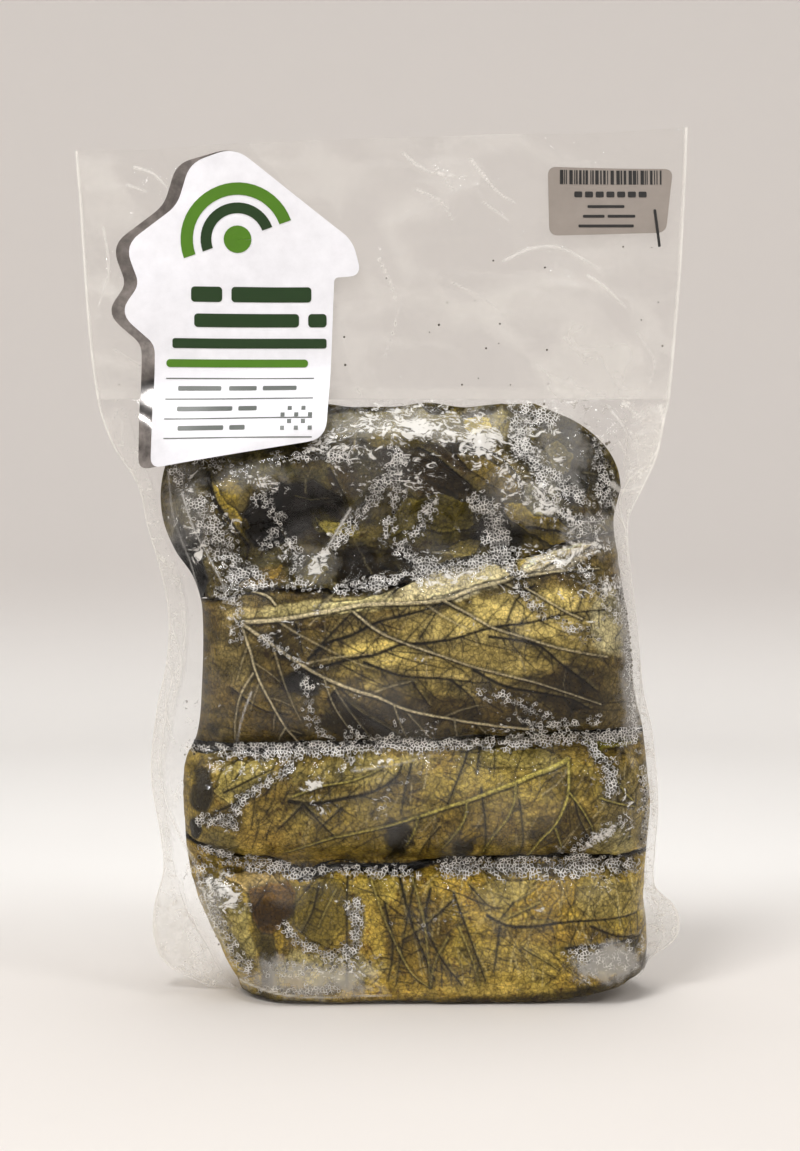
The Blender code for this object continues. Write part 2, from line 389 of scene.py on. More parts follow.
def leafDepth(x, z, back=False):
    aside, up = bag["backShift"] if back else (0.0, 0.0)
    power = leaf["cleftPower"]
    filled = (curveAt(bag["grooves"], z, 1) - leaf["cleftDeeper"]) ** power
    for roll in rolls.values():
        filled = filled + rollDepth(roll, x + aside, z + up) ** power
    closing = np.clip((bag["sealHeight"] - z) / bag["closeHeight"], 0, 1) ** bag["closeRounding"]
    shape = filled ** (1 / power) * closing * leafEnds(x, z)
    return np.maximum(np.minimum(shape, wallDepth(x, z, back)) - leaf["inset"], 0.05)


def crush(x, z):
    # how the bent top roll and the wad under it are crumpled, inwards from the film
    above = smoothStep(0, 7, z - cleftHeight("high", x))
    warpX = x + leaf["crumpleShift"] * cloud(x, z, 14.0, 71)
    warpZ = z + leaf["crumpleShift"] * cloud(x, z, 14.0, 72)
    deep = leaf["crumpleDepth"] * (ridges(warpX, warpZ, leaf["crumpleSize"], 90, octaves=3) - 0.82)
    return above * np.minimum(deep, 0.15)


def rollGrid(name, low, high):
    # a closed skin between two clefts: the front from the top down, then the back from the bottom up
    x0, x1 = leafEdges(np.array((low(0.0) + high(0.0)) / 2))
    middleX = np.linspace(float(x0), float(x1), 40)
    middleZ = np.linspace(low(0.0), high(0.0), 400)[:, None] + 0 * middleX
    slope = np.hypot(np.diff(leafDepth(middleX + 0 * middleZ, middleZ), axis=0), np.diff(middleZ, axis=0))
    arc = slope.sum(axis=0).mean()
    rows = math.sqrt(leaf["squares"] * arc / leaf["frontShare"] / float(x1 - x0)) * 1.08
    up, across = int(rows), int(leaf["squares"] / int(rows))
    thing, row, column, rowCount, columnCount = gridPiece(name, across, up)
    frontRows = int(rowCount * leaf["frontShare"])
    fall = np.linspace(0, 1, frontRows)
    fall = fall - 0.045 * np.sin(2 * math.pi * fall)
    rise = np.linspace(1, 0, rowCount - frontRows - 1)
    down = np.concatenate([fall, rise, [0.0]])[:, None]
    front = np.concatenate([np.ones(frontRows), np.zeros(rowCount - frontRows - 1), [1.0]])[:, None] > 0.5
    share = np.linspace(0, 1, columnCount)[None, :]
    share = share - 0.04 * np.sin(2 * math.pi * share)  # closer together at the ends
    x = float(x0) + float(x1 - x0) * share + 0 * down
    for _ in range(3):
        z = high(x) + (low(x) - high(x)) * down
        z = np.maximum(z, baseLine(x) + 0.9)
        left, right = leafEdges(z)
        x = left + (right - left) * share
    y = np.where(front, middlePlane(x, z) - leafDepth(x, z), middlePlane(x, z) + leafDepth(x, z, True))
    return thing, row, column, x, y, z, front


def makeCanvas(x, z, front, base):
    v = np.where(front, z, 1000 + z)  # the back has its own heights to paint by
    frontRows = front[:, 0] & (np.arange(len(front)) < len(front) - 1)
    return {
        "x": x, "v": v, "front": front, "columnX": x.mean(axis=0), "rowV": v.mean(axis=1),
        "slant": float(np.ptp(x[frontRows], axis=0).max()) + 0.5,
        "slope": float(np.ptp(v[frontRows], axis=1).max()) + 0.5,
        "tint": np.ones(x.shape + (3,)) * np.array(hexColour(base)), "lift": np.zeros(x.shape),
    }


def canvasPart(canvas, low, high):
    # the rows and columns that a mark between these two corners can reach
    columns = np.nonzero((canvas["columnX"] > low[0] - canvas["slant"])
                         & (canvas["columnX"] < high[0] + canvas["slant"]))[0]
    rows = np.nonzero((canvas["rowV"] > low[1] - canvas["slope"])
                      & (canvas["rowV"] < high[1] + canvas["slope"]))[0]
    if len(columns) == 0 or len(rows) == 0:
        return None
    return np.s_[rows[0]:rows[-1] + 1, columns[0]:columns[-1] + 1]


def stroke(canvas, line, width, colour, strength, lift, taper, soft=0.26, halo=0.0, ragged=0.0):
    # paints and raises the mesh along a line, with a soft rim
    line = np.asarray(line, float)
    reach = width / 2 + max(soft, 0.5) * 1.5 + (1.4 if halo else 0) + ragged
    part = canvasPart(canvas, line.min(axis=0) - reach, line.max(axis=0) + reach)
    if part is None:
        return
    x, v = canvas["x"][part], canvas["v"][part]
    gap = np.full(x.shape, 99.0)
    total = len(line) - 1
    for k in range(total):
        a, run = line[k], line[k + 1] - line[k]
        t = np.clip(((x - a[0]) * run[0] + (v - a[1]) * run[1]) / max(run @ run, 1e-9), 0, 1)
        away = np.hypot(x - a[0] - t * run[0], v - a[1] - t * run[1])
        gap = np.minimum(gap, away - width * (1 - taper * (k + t) / total) / 2)
    if ragged:
        gap = gap + ragged * clouds(x, v, 4.5, 37, octaves=3, keep=0.7)
    cover = smoothStep(soft, -soft, gap)
    if halo:
        rim = (1 - halo * smoothStep(1.3, 0.15, gap) * (1 - cover))[..., None]
        canvas["tint"][part] *= rim
    if colour is not None:
        share = (cover * strength)[..., None]
        canvas["tint"][part] = canvas["tint"][part] * (1 - share) + np.array(colour) * share
    if lift:
        canvas["lift"][part] += smoothStep(0.7, -0.3, gap) * lift


def patch(canvas, x, v, wide, high, turn, colour, strength, ragged=0.45):
    # a soft patch with a ragged rim, which keeps the light and dark of what is under it
    part = canvasPart(canvas, (x - 1.6 * max(wide, high), v - 1.6 * max(wide, high)),
                      (x + 1.6 * max(wide, high), v + 1.6 * max(wide, high)))
    if part is None:
        return
    px, pv = canvas["x"][part] - x, canvas["v"][part] - v
    c, s = math.cos(math.radians(turn)), math.sin(math.radians(turn))
    away = np.hypot((px * c + pv * s) / wide, (pv * c - px * s) / high)
    grain = clouds(canvas["x"][part], canvas["v"][part], 6.0, int(abs(x * 7 + v)) + 3)
    share = smoothStep(1.15, 0.75, away + ragged * grain)[..., None] * strength
    ground = canvas["tint"][part]
    light = ground.mean(axis=-1, keepdims=True) / canvas["level"]
    fresh = np.array(hexColour(colour)) * np.clip(0.45 + 0.55 * light, 0.3, 1.8)
    canvas["tint"][part] = ground * (1 - share) + fresh * share


def flap(canvas, points, colour, strength, lift):
    # a piece of leaf with an edge of its own, lying on the leaf under it or torn out of it
    table = np.array(points, float)
    part = canvasPart(canvas, table.min(axis=0) - 3, table.max(axis=0) + 3)
    if part is None:
        return
    x, v = canvas["x"][part], canvas["v"][part]
    x, v = x + 0.9 * clouds(x, v, 3.5, 43, octaves=3), v + 0.9 * clouds(x, v, 3.5, 53, octaves=3)
    gap, inside = np.full(x.shape, 99.0), np.zeros(x.shape, bool)
    for a, b in zip(table, np.roll(table, -1, axis=0)):
        run = b - a
        t = np.clip(((x - a[0]) * run[0] + (v - a[1]) * run[1]) / (run @ run), 0, 1)
        gap = np.minimum(gap, np.hypot(x - a[0] - t * run[0], v - a[1] - t * run[1]))
        if run[1]:
            inside ^= ((a[1] > v) != (b[1] > v)) & (x < run[0] * (v - a[1]) / run[1] + a[0])
    gap = np.where(inside, -gap, gap)
    cover = (smoothStep(0.2, -0.2, gap) * strength)[..., None]
    # painted shadow on the leaf just outside the flap's edge
    rim = smoothStep(1.4, 0.0, gap)[..., None] * (1 - cover)
    ground = canvas["tint"][part] * (1 - 0.65 * rim)
    light = ground.mean(axis=-1, keepdims=True) / canvas["level"]
    # painted highlight along the flap's inner rim
    bright = 1 + 0.55 * smoothStep(-0.9, -0.2, gap)[..., None]
    fresh = np.array(hexColour(colour)) * np.clip(0.5 + 0.5 * light, 0.3, 1.8) * bright
    canvas["tint"][part] = ground * (1 - cover) + fresh * cover
    canvas["lift"][part] += lift * smoothStep(0.3, -0.6, gap)


def leafGround(canvas, seed):
    # uneven curing: paler and darker clouds, rusty freckles, and blade cells between the finest veins
    x, v = canvas["x"], canvas["v"]
    broad = clouds(x, v, 17.0, seed)
    fine = clouds(x, v, 3.0, seed + 9, octaves=4, keep=0.8)
    long = clouds(x * 0.45 + v * 0.2, v * 1.5, 3.4, seed + 57, octaves=3, keep=0.7)
    canvas["level"] = float(canvas["tint"].mean())
    canvas["tint"] *= np.clip(1 + 0.5 * broad + 0.8 * fine + 0.55 * long, 0.18, 2.3)[..., None]
    warm = clouds(x, v, 9.0, seed + 23)[..., None]
    canvas["tint"] *= 1 + warm * np.array([0.12, 0.0, -0.25])
    freckles = smoothStep(0.30, 0.55, clouds(x, v, 2.2, seed + 31, octaves=3, keep=0.8))[..., None]
    canvas["tint"] *= 1 - np.array([0.5, 0.6, 0.68]) * freckles
    crackle = ridges(x * 0.7 + v * 0.3, v * 0.8 - x * 0.3, 5.0, seed + 71, octaves=2)
    cracks = smoothStep(0.88, 0.97, crackle)
    cracks = cracks * smoothStep(-0.1, 0.35, clouds(x, v, 8.0, seed + 77))
    canvas["tint"] *= (1 - 0.72 * cracks)[..., None]
    canvas["lift"] += leaf["waveHeight"] * clouds(x, v, leaf["waveSize"], seed + 41, octaves=3)
    canvas["lift"] += 0.16 * fine


def vein(canvas, width, side, points, kind, seed, tone=None):
    # a vein with its side veins, and across those the short third veins
    draw = np.random.default_rng(seed)
    line = softLine(points)
    pale = kind == "pale"
    colour = np.array(hexColour((tone or leaf["paleVein"]) if pale else leaf["darkVein"]))
    dark = np.array(hexColour(leaf["darkVein"]))
    run = np.concatenate([[0], np.cumsum(np.hypot(*np.diff(line, axis=0).T))])

    def placeAt(at):
        return np.array([np.interp(at, run, line[:, 0]), np.interp(at, run, line[:, 1])])

    if not pale:  # a pressed vein lies in a soft fold: painted shade on its lower side and a painted highlight above it
        stroke(canvas, line + (0, -1.3), width * 2.2, dark, 0.45, -0.1, 0.4, soft=1.7)
        paintedFoldHighlight = np.array(hexColour(leaf["paintedFoldHighlight"]))
        stroke(canvas, line + (0, 1.0), width * 0.9, paintedFoldHighlight, 0.4, 0.1, 0.4, soft=0.9)
    at = 1.5
    while at < run[-1] - 1 and width > 0.65:
        place = placeAt(at)
        heading = math.atan2(*(placeAt(at + 1.5) - placeAt(at - 1.5))[::-1])
        hand = 1 if draw.random() > 0.5 else -1
        angle = heading + hand * math.radians(draw.uniform(72, 100))
        reach = draw.uniform(2.2, 6.5)
        ahead = np.array([math.cos(angle), math.sin(angle)])
        aside = np.array([-ahead[1], ahead[0]])
        middle = place + reach * (0.5 * ahead + draw.uniform(-0.08, 0.08) * aside)
        stroke(canvas, [place, middle, place + reach * ahead], 0.48, dark,
               draw.uniform(0.3, 0.85) * (0.5 if pale else 1.0), -0.06, 0.4, soft=0.2)
        at += draw.uniform(1.4, 3.6) * (2.0 if pale else 1.0)
    if side:
        at, hand = side * 0.45, 1 if draw.random() > 0.5 else -1
        while at < run[-1] - 4:
            place = placeAt(at)
            heading = math.atan2(*(placeAt(at + 2) - place)[::-1])
            angle = heading + hand * math.radians(draw.uniform(36, 52))
            length = (run[-1] - at) * draw.uniform(0.2, 0.34) + 3
            twig = [place]
            for _ in range(4):
                angle -= hand * draw.uniform(0.02, 0.08)
                twig.append(twig[-1] + length / 4 * np.array([math.cos(angle), math.sin(angle)]))
            stroke(canvas, twig, width * 0.5, colour, 0.5 if pale else 0.8, 0.14 if pale else -0.14, 0.6,
                   halo=0.35 if pale else 0)
            at += draw.uniform(0.8, 1.2) * side * 0.5
            hand = -hand
    # a raised pale vein gets a painted shadow along its lower edge
    if pale:
        stroke(canvas, line - (0, 0.5 * width + 0.1), 0.5, dark, 0.75, -0.1, 0.4, soft=0.3)
    stroke(canvas, line, width * (0.8 if pale else 1.1), colour, 0.92, 0.4 if pale else -0.34, 0.5,
           halo=0.45 if pale else 0)
    if pale and width > 0.9:  # painted highlight along the rounded back of a thick vein
        stroke(canvas, line + (0, width * 0.12), width * 0.35, colour * 1.4, 0.7, 0, 0.6, soft=0.25)


def creaseMarks(canvas, count, low, high, heading, spread, length, seed, pale=False, width=0.42):
    # the fine straight marks that pressed leaves show all over
    draw = np.random.default_rng(seed)
    colour = np.array(hexColour(leaf["paleVein"] if pale else leaf["darkVein"]))
    for _ in range(count):
        x, v = draw.uniform(low[0], high[0]), draw.uniform(low[1], high[1])
        angle = math.radians(heading + draw.uniform(-spread, spread))
        reach = draw.uniform(*length)
        bow = draw.uniform(-0.12, 0.12) * reach
        ahead = np.array([math.cos(angle), math.sin(angle)])
        middle = np.array([x, v]) + reach / 2 * ahead + bow * np.array([-ahead[1], ahead[0]])
        far = np.array([x, v]) + reach * ahead
        stroke(canvas, [(x, v), middle, far], width * draw.uniform(0.6, 1.4), colour,
               draw.uniform(0.3, 0.8), 0.07 if pale else -0.08, 0.6, soft=0.22)


def backLeaves(canvas, seed, low, high):
    # whole leaves laid anyhow on the side that the picture doesn't show
    draw = np.random.default_rng(seed)
    for k in range(3):
        stalk = np.array([draw.uniform(-55, 65), 1000 + draw.uniform(low, high)])
        heading = draw.uniform(0, 360)
        kind = "pale" if draw.random() < 0.6 else "dark"
        for turn, length in ((-78, 40), (-36, 58), (2, 70), (38, 58), (80, 40)):
            angle = math.radians(heading + turn)
            middle = stalk + 0.5 * length * np.array([math.cos(angle + 0.06), math.sin(angle + 0.06)])
            far = stalk + length * np.array([math.cos(angle), math.sin(angle)])
            vein(canvas, 1.3, 14, [stalk, middle, far], kind, seed + k)
    creaseMarks(canvas, 50, (-70, 1000 + low), (85, 1000 + high), 70, 60, (4, 14), seed + 3)


foam = {
    "radius": (0.34, 0.66),  # bubbles from two thirds of a millimetre to over one across
    "crowd": 0.6,  # how many are tried for, of those that would fit
    "sides": 8,
    "seed": 12,
}
# Bands of foam on the shown side: width, bubbles per square millimetre, points
foamBands = (
    (2.6, 1.0, ((-66, 81), (-44, 82), (-20, 82.5))),
    (2.6, 0.9, ((-60, 50), (-50, 46.5), (-40, 45), (-28, 41.5))),
    (2.4, 0.8, ((18, 45), (50, 45.5), (78, 45.5))),
    (3.4, 1.0, ((-55.5, 80), (-28.5, 80.5), (-13, 82), (9, 82.5), (34.5, 83.5), (53, 84.5),
                (78.5, 85.5))),
    (4.2, 1.0, ((37.5, 85), (53, 85.5), (69, 84.5), (78.5, 85))),
    (5.0, 1.0, ((64.5, 81.5), (69, 75.5), (69.5, 68.5))),
    (3.2, 0.9, ((-28.5, 82.5), (-14.5, 80.5), (-13, 77))),
    (3.0, 0.9, ((-32, 76), (-40, 71), (-46.5, 66.5), (-51, 60), (-52, 58))),
    (3.6, 0.8, ((-60, 59.5), (-54, 60), (-49, 58))),
    (3.0, 0.9, ((-53.5, 45), (-40, 43.5), (-28.5, 41), (-16, 42.5), (8.5, 41))),
    (4.6, 1.0, ((18, 43), (34.5, 43), (57, 43))), (5.0, 0.9, ((60.5, 43.5), (69, 43.5), (78.5, 43))),
    (5.0, 0.5, ((57, 46.5), (63, 53.5), (75, 58.5))), (6.0, 0.7, ((-61.5, 43.5), (-57, 38), (-49, 33))),
    (5.0, 0.7, ((-58.5, 33), (-52, 22), (-46, 11))),
    (3.6, 0.8, ((-33, 25.5), (-28.5, 20.5), (-21, 17.5), (-14, 19))),
    (4.4, 0.9, ((-10.5, 33), (-11, 25.5), (-11.5, 18.5))), (3.0, 0.8, ((-42, 6), (-28.5, 5), (-17, 6.5))),
    (5, 0.35, ((-38, 12.5), (-22.5, 12.5), (-5, 14.5))), (9.0, 0.75, ((61, 15), (69, 15), (77, 16))),
    (4.5, 0.9, ((76, 132), (76.5, 116.5), (77.5, 101), (78, 88))),
    (4.0, 0.6, ((81.5, 72.5), (82, 60), (81.5, 47.5))), (6.0, 0.6, ((53, 142), (62.5, 137), (70.5, 126))),
    (3.5, 0.5, ((40.5, 132.5), (47, 126), (66, 116.5))),
    (3.2, 0.6, ((-40.5, 116.5), (-32, 112), (-25.5, 101))),
    (4.5, 0.6, ((-52, 129), (-47.5, 125.5), (-49, 116.5))),
    (4.0, 0.5, ((-25.5, 101), (-25, 91.5), (-19, 83.5))), (3.6, 0.5, ((28, 101), (40.5, 96), (53, 88.5))),
    (4.0, 0.6, ((-13, 86.5), (-3.5, 84.5), (9, 84.5))), (3.0, 0.7, ((39.5, 91.5), (47, 89), (66, 91))),
    (4.4, 0.9, ((9, 137), (25, 140), (37.5, 142), (40.5, 132.5))),
    (8.0, 0.8, ((-60.5, 157.5), (-57, 149.5), (-53.5, 144))),
    (6.5, 0.9, ((-52.5, 140), (-48, 137.5), (-43, 138))),
    (4.0, 1.0, ((3, 173), (-1.5, 167), (-6, 161.5), (-10.5, 156.5), (-14, 152), (-17.5, 146.5))),
    (5.0, 0.6, ((-70, 170.5), (-64, 160.5), (-59, 160.5))),
    (4.5, 0.6, ((-37, 173.5), (-19.5, 175), (-13, 172))),
    (3.6, 0.7, ((-41.5, 160.5), (-35, 154.5), (-41, 146.5))),
    (4.5, 0.6, ((-39, 146.5), (-32, 146.5), (-30, 137))),
    (7.0, 1.0, ((40.5, 188.5), (45.5, 188.5), (51, 187.5))),
    (7.0, 0.9, ((41, 183), (44, 176.5), (49, 170.5))),
    (6.0, 0.9, ((53.5, 167), (58.5, 164.5), (61.5, 161.5))),
    (5.0, 0.8, ((66.5, 180), (69, 170.5), (70, 160.5))),
    (8.0, 1.0, ((28.5, 160.5), (33, 156), (34.5, 146.5))),
    (5.0, 1.0, ((3, 145), (7.5, 141.5), (12.5, 140))),
    (3.4, 0.8, ((-16, 133), (-8, 134), (2, 136), (10, 139))),
    (3.0, 0.7, ((-56, 132), (-46, 133), (-36, 134), (-26, 134))),
    (4.0, 0.8, ((12.5, 159), (9, 151), (3, 146.5))), (5.0, 0.9, ((47.5, 170.5), (50, 159), (60, 154.5))),
    (6.0, 0.7, ((57, 151), (63, 150.5), (66.5, 154.5))),
    (4.0, 0.7, ((25, 141.5), (34.5, 143), (39.5, 145))),
    (5.0, 0.5, ((-70, 176.5), (-60.5, 175), (-48, 170.5))),
    (4.0, 0.6, ((0.5, 176.5), (1.5, 160.5), (-2, 148))),
)


def plainCanvas(x, v):
    # an empty canvas over any mesh of rows and columns
    return {
        "x": x, "v": v, "columnX": x.mean(axis=0), "rowV": v.mean(axis=1),
        "slant": float(np.ptp(x, axis=0).max()), "slope": float(np.ptp(v, axis=1).max()),
        "tint": np.zeros(x.shape + (3,)), "lift": np.zeros(x.shape),
    }


def coverOf(x, v, bands, soft):
    # how far bands of this kind cover each place of a mesh, from 0 to 1
    canvas = plainCanvas(x, v)
    for width, density, points in bands:
        stroke(canvas, softLine(points), width, (1, 1, 1), min(1.0, density), 0, 0.1,
               soft=soft * width + 0.6, ragged=0.55 * width)
    return canvas["tint"][..., 0]


def foamCover(x, v):
    # bands of fine foam under the film, as a value on its mesh
    cover = coverOf(x, v, foamBands, 0.3)
    stray = smoothStep(0.25, 0.7, clouds(x, v, 9.0, 88)) * 0.22
    return np.clip(np.maximum(cover * (1 + 0.3 * clouds(x, v, 3.0, 87)), stray), 0, 1)


def vineLeafMaterial():
    # vine leaves cured in brine, waxy and wet under the film; the mesh carries their colour
    made = newMaterial("brined vine leaf")
    tint = addNode(made, "ShaderNodeAttribute", {"attribute_name": "leafTint"})
    place = addNode(made, "ShaderNodeTexCoord")
    # blade cells just under a millimetre, and the small fields between the finest veins
    grain = addNode(made, "ShaderNodeTexNoise",
                    {"Scale": 1 / (leaf["bladeCell"] * mm), "Detail": 2.0, "Roughness": 0.7},
                    {"Vector": place.outputs["Object"]})
    fields = addNode(made, "ShaderNodeTexVoronoi",
                     {"feature": "DISTANCE_TO_EDGE", "Scale": 1 / (leaf["veinField"] * mm)},
                     {"Vector": place.outputs["Object"]})
    lines = addNode(made, "ShaderNodeMapRange", {"From Max": 0.12, "To Min": 0.5},
                    {"Value": fields.outputs["Distance"]})
    tone = addNode(made, "ShaderNodeMapRange",
                   {"From Min": 0.3, "From Max": 0.7, "To Min": 0.5, "To Max": 1.5},
                   {"Value": grain.outputs["Fac"]})
    both = addNode(made, "ShaderNodeMath", {"operation": "MULTIPLY"},
                   {0: lines.outputs["Result"], 1: tone.outputs["Result"]})
    colour = addNode(made, "ShaderNodeVectorMath", {"operation": "SCALE"},
                     {0: tint.outputs["Color"], "Scale": both.outputs["Value"]})
    bump = addNode(made, "ShaderNodeBump", {"Strength": 0.4, "Distance": 0.25 * mm},
                   {"Height": both.outputs["Value"]})
    wet = addNode(made, "ShaderNodeMapRange", {"To Min": 0.35, "To Max": 0.65},
                  {"Value": grain.outputs["Fac"]})
    shader = addNode(made, "ShaderNodeBsdfPrincipled", {"IOR": 1.4, "Specular IOR Level": 0.22},
                     {"Base Color": colour.outputs["Vector"], "Roughness": wet.outputs["Result"],
                      "Normal": bump.outputs["Normal"]})
    addNode(made, "ShaderNodeOutputMaterial", {}, {"Surface": shader.outputs["BSDF"]})
    return made


vineLeaf = vineLeafMaterial()


def buildRoll(name, low, high):
    marks = rollMarks[name]
    thing, row, column, x, y, z, front = rollGrid(name, low, high)
    canvas = makeCanvas(x, z, front, marks["colour"])
    leafGround(canvas, marks["seed"])
    paintRoll(canvas, marks)
    backLeaves(canvas, marks["seed"], float(low(0.0)), float(high(0.0)))
    # the relief goes along the surface's own normal
    alongX = np.stack([np.gradient(a, axis=1) for a in (x, y, z)], axis=-1)
    alongRow = np.stack([np.gradient(a, axis=0) for a in (x, y, z)], axis=-1)
    normal = np.cross(alongX, alongRow)
    normal /= np.maximum(np.linalg.norm(normal, axis=-1, keepdims=True), 1e-9)
    normal *= (np.sign(normal[..., 1]) * np.where(front, -1, 1))[..., None]
    rim = smoothStep(0, 0.3, leafEnds(x, z))
    lift = np.clip(canvas["lift"] + crush(x, canvas["v"] % 1000), -4.0, 0.6) * rim
    nearCleft = np.zeros(x.shape)
    for line in cleftLines:
        away = np.abs(z - cleftHeight(line, x)) + 0.5 * clouds(x, z, 5.0, 66)
        depth = 0.35 if line == "high" else 1.0
        nearCleft = np.maximum(nearCleft, depth * smoothStep(leaf["cleftWidth"], 0.3, away))
    lift -= leaf["cleftCarve"] * nearCleft * rim * np.where(front, 1, 0.4)
    places = [a + lift * normal[..., k] for k, a in enumerate((x, y, z))]
    places[2] = np.maximum(places[2], 0.7)
    # painted shade along the bottom of the leaves, reaching higher towards the right
    under = smoothStep(leaf["underside"], 0.5, z - baseLine(x) - leaf["undersideRise"] * np.maximum(0, x))
    canvas["tint"] *= (1 - leaf["paintedUndersideShade"] * under)[..., None]
    # painted shade darkens the clefts between the rolls
    tint = canvas["tint"] * (1 - leaf["paintedCleftShade"] * smoothStep(0.1, 0.7, nearCleft))[..., None]
    # painted shade in dents and painted light on raised parts, by the relief's height
    tint = tint * np.clip(1 + 0.22 * lift, 0.45, 1.15)[..., None] * leaf["lightness"]
    tint = tint * (1 - leaf["foamShade"] * foamCover(x, canvas["v"]))[..., None]
    moveGrid(thing, row, column, *places)
    storeValue(thing, "leafTint", np.clip(tint, 0.002, 0.9)[row, column])
    outward(thing)
    smoothShade(thing)
    thing.data.materials.append(vineLeaf)
    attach(thing, "root")
    print(name, len(thing.data.polygons), "faces")


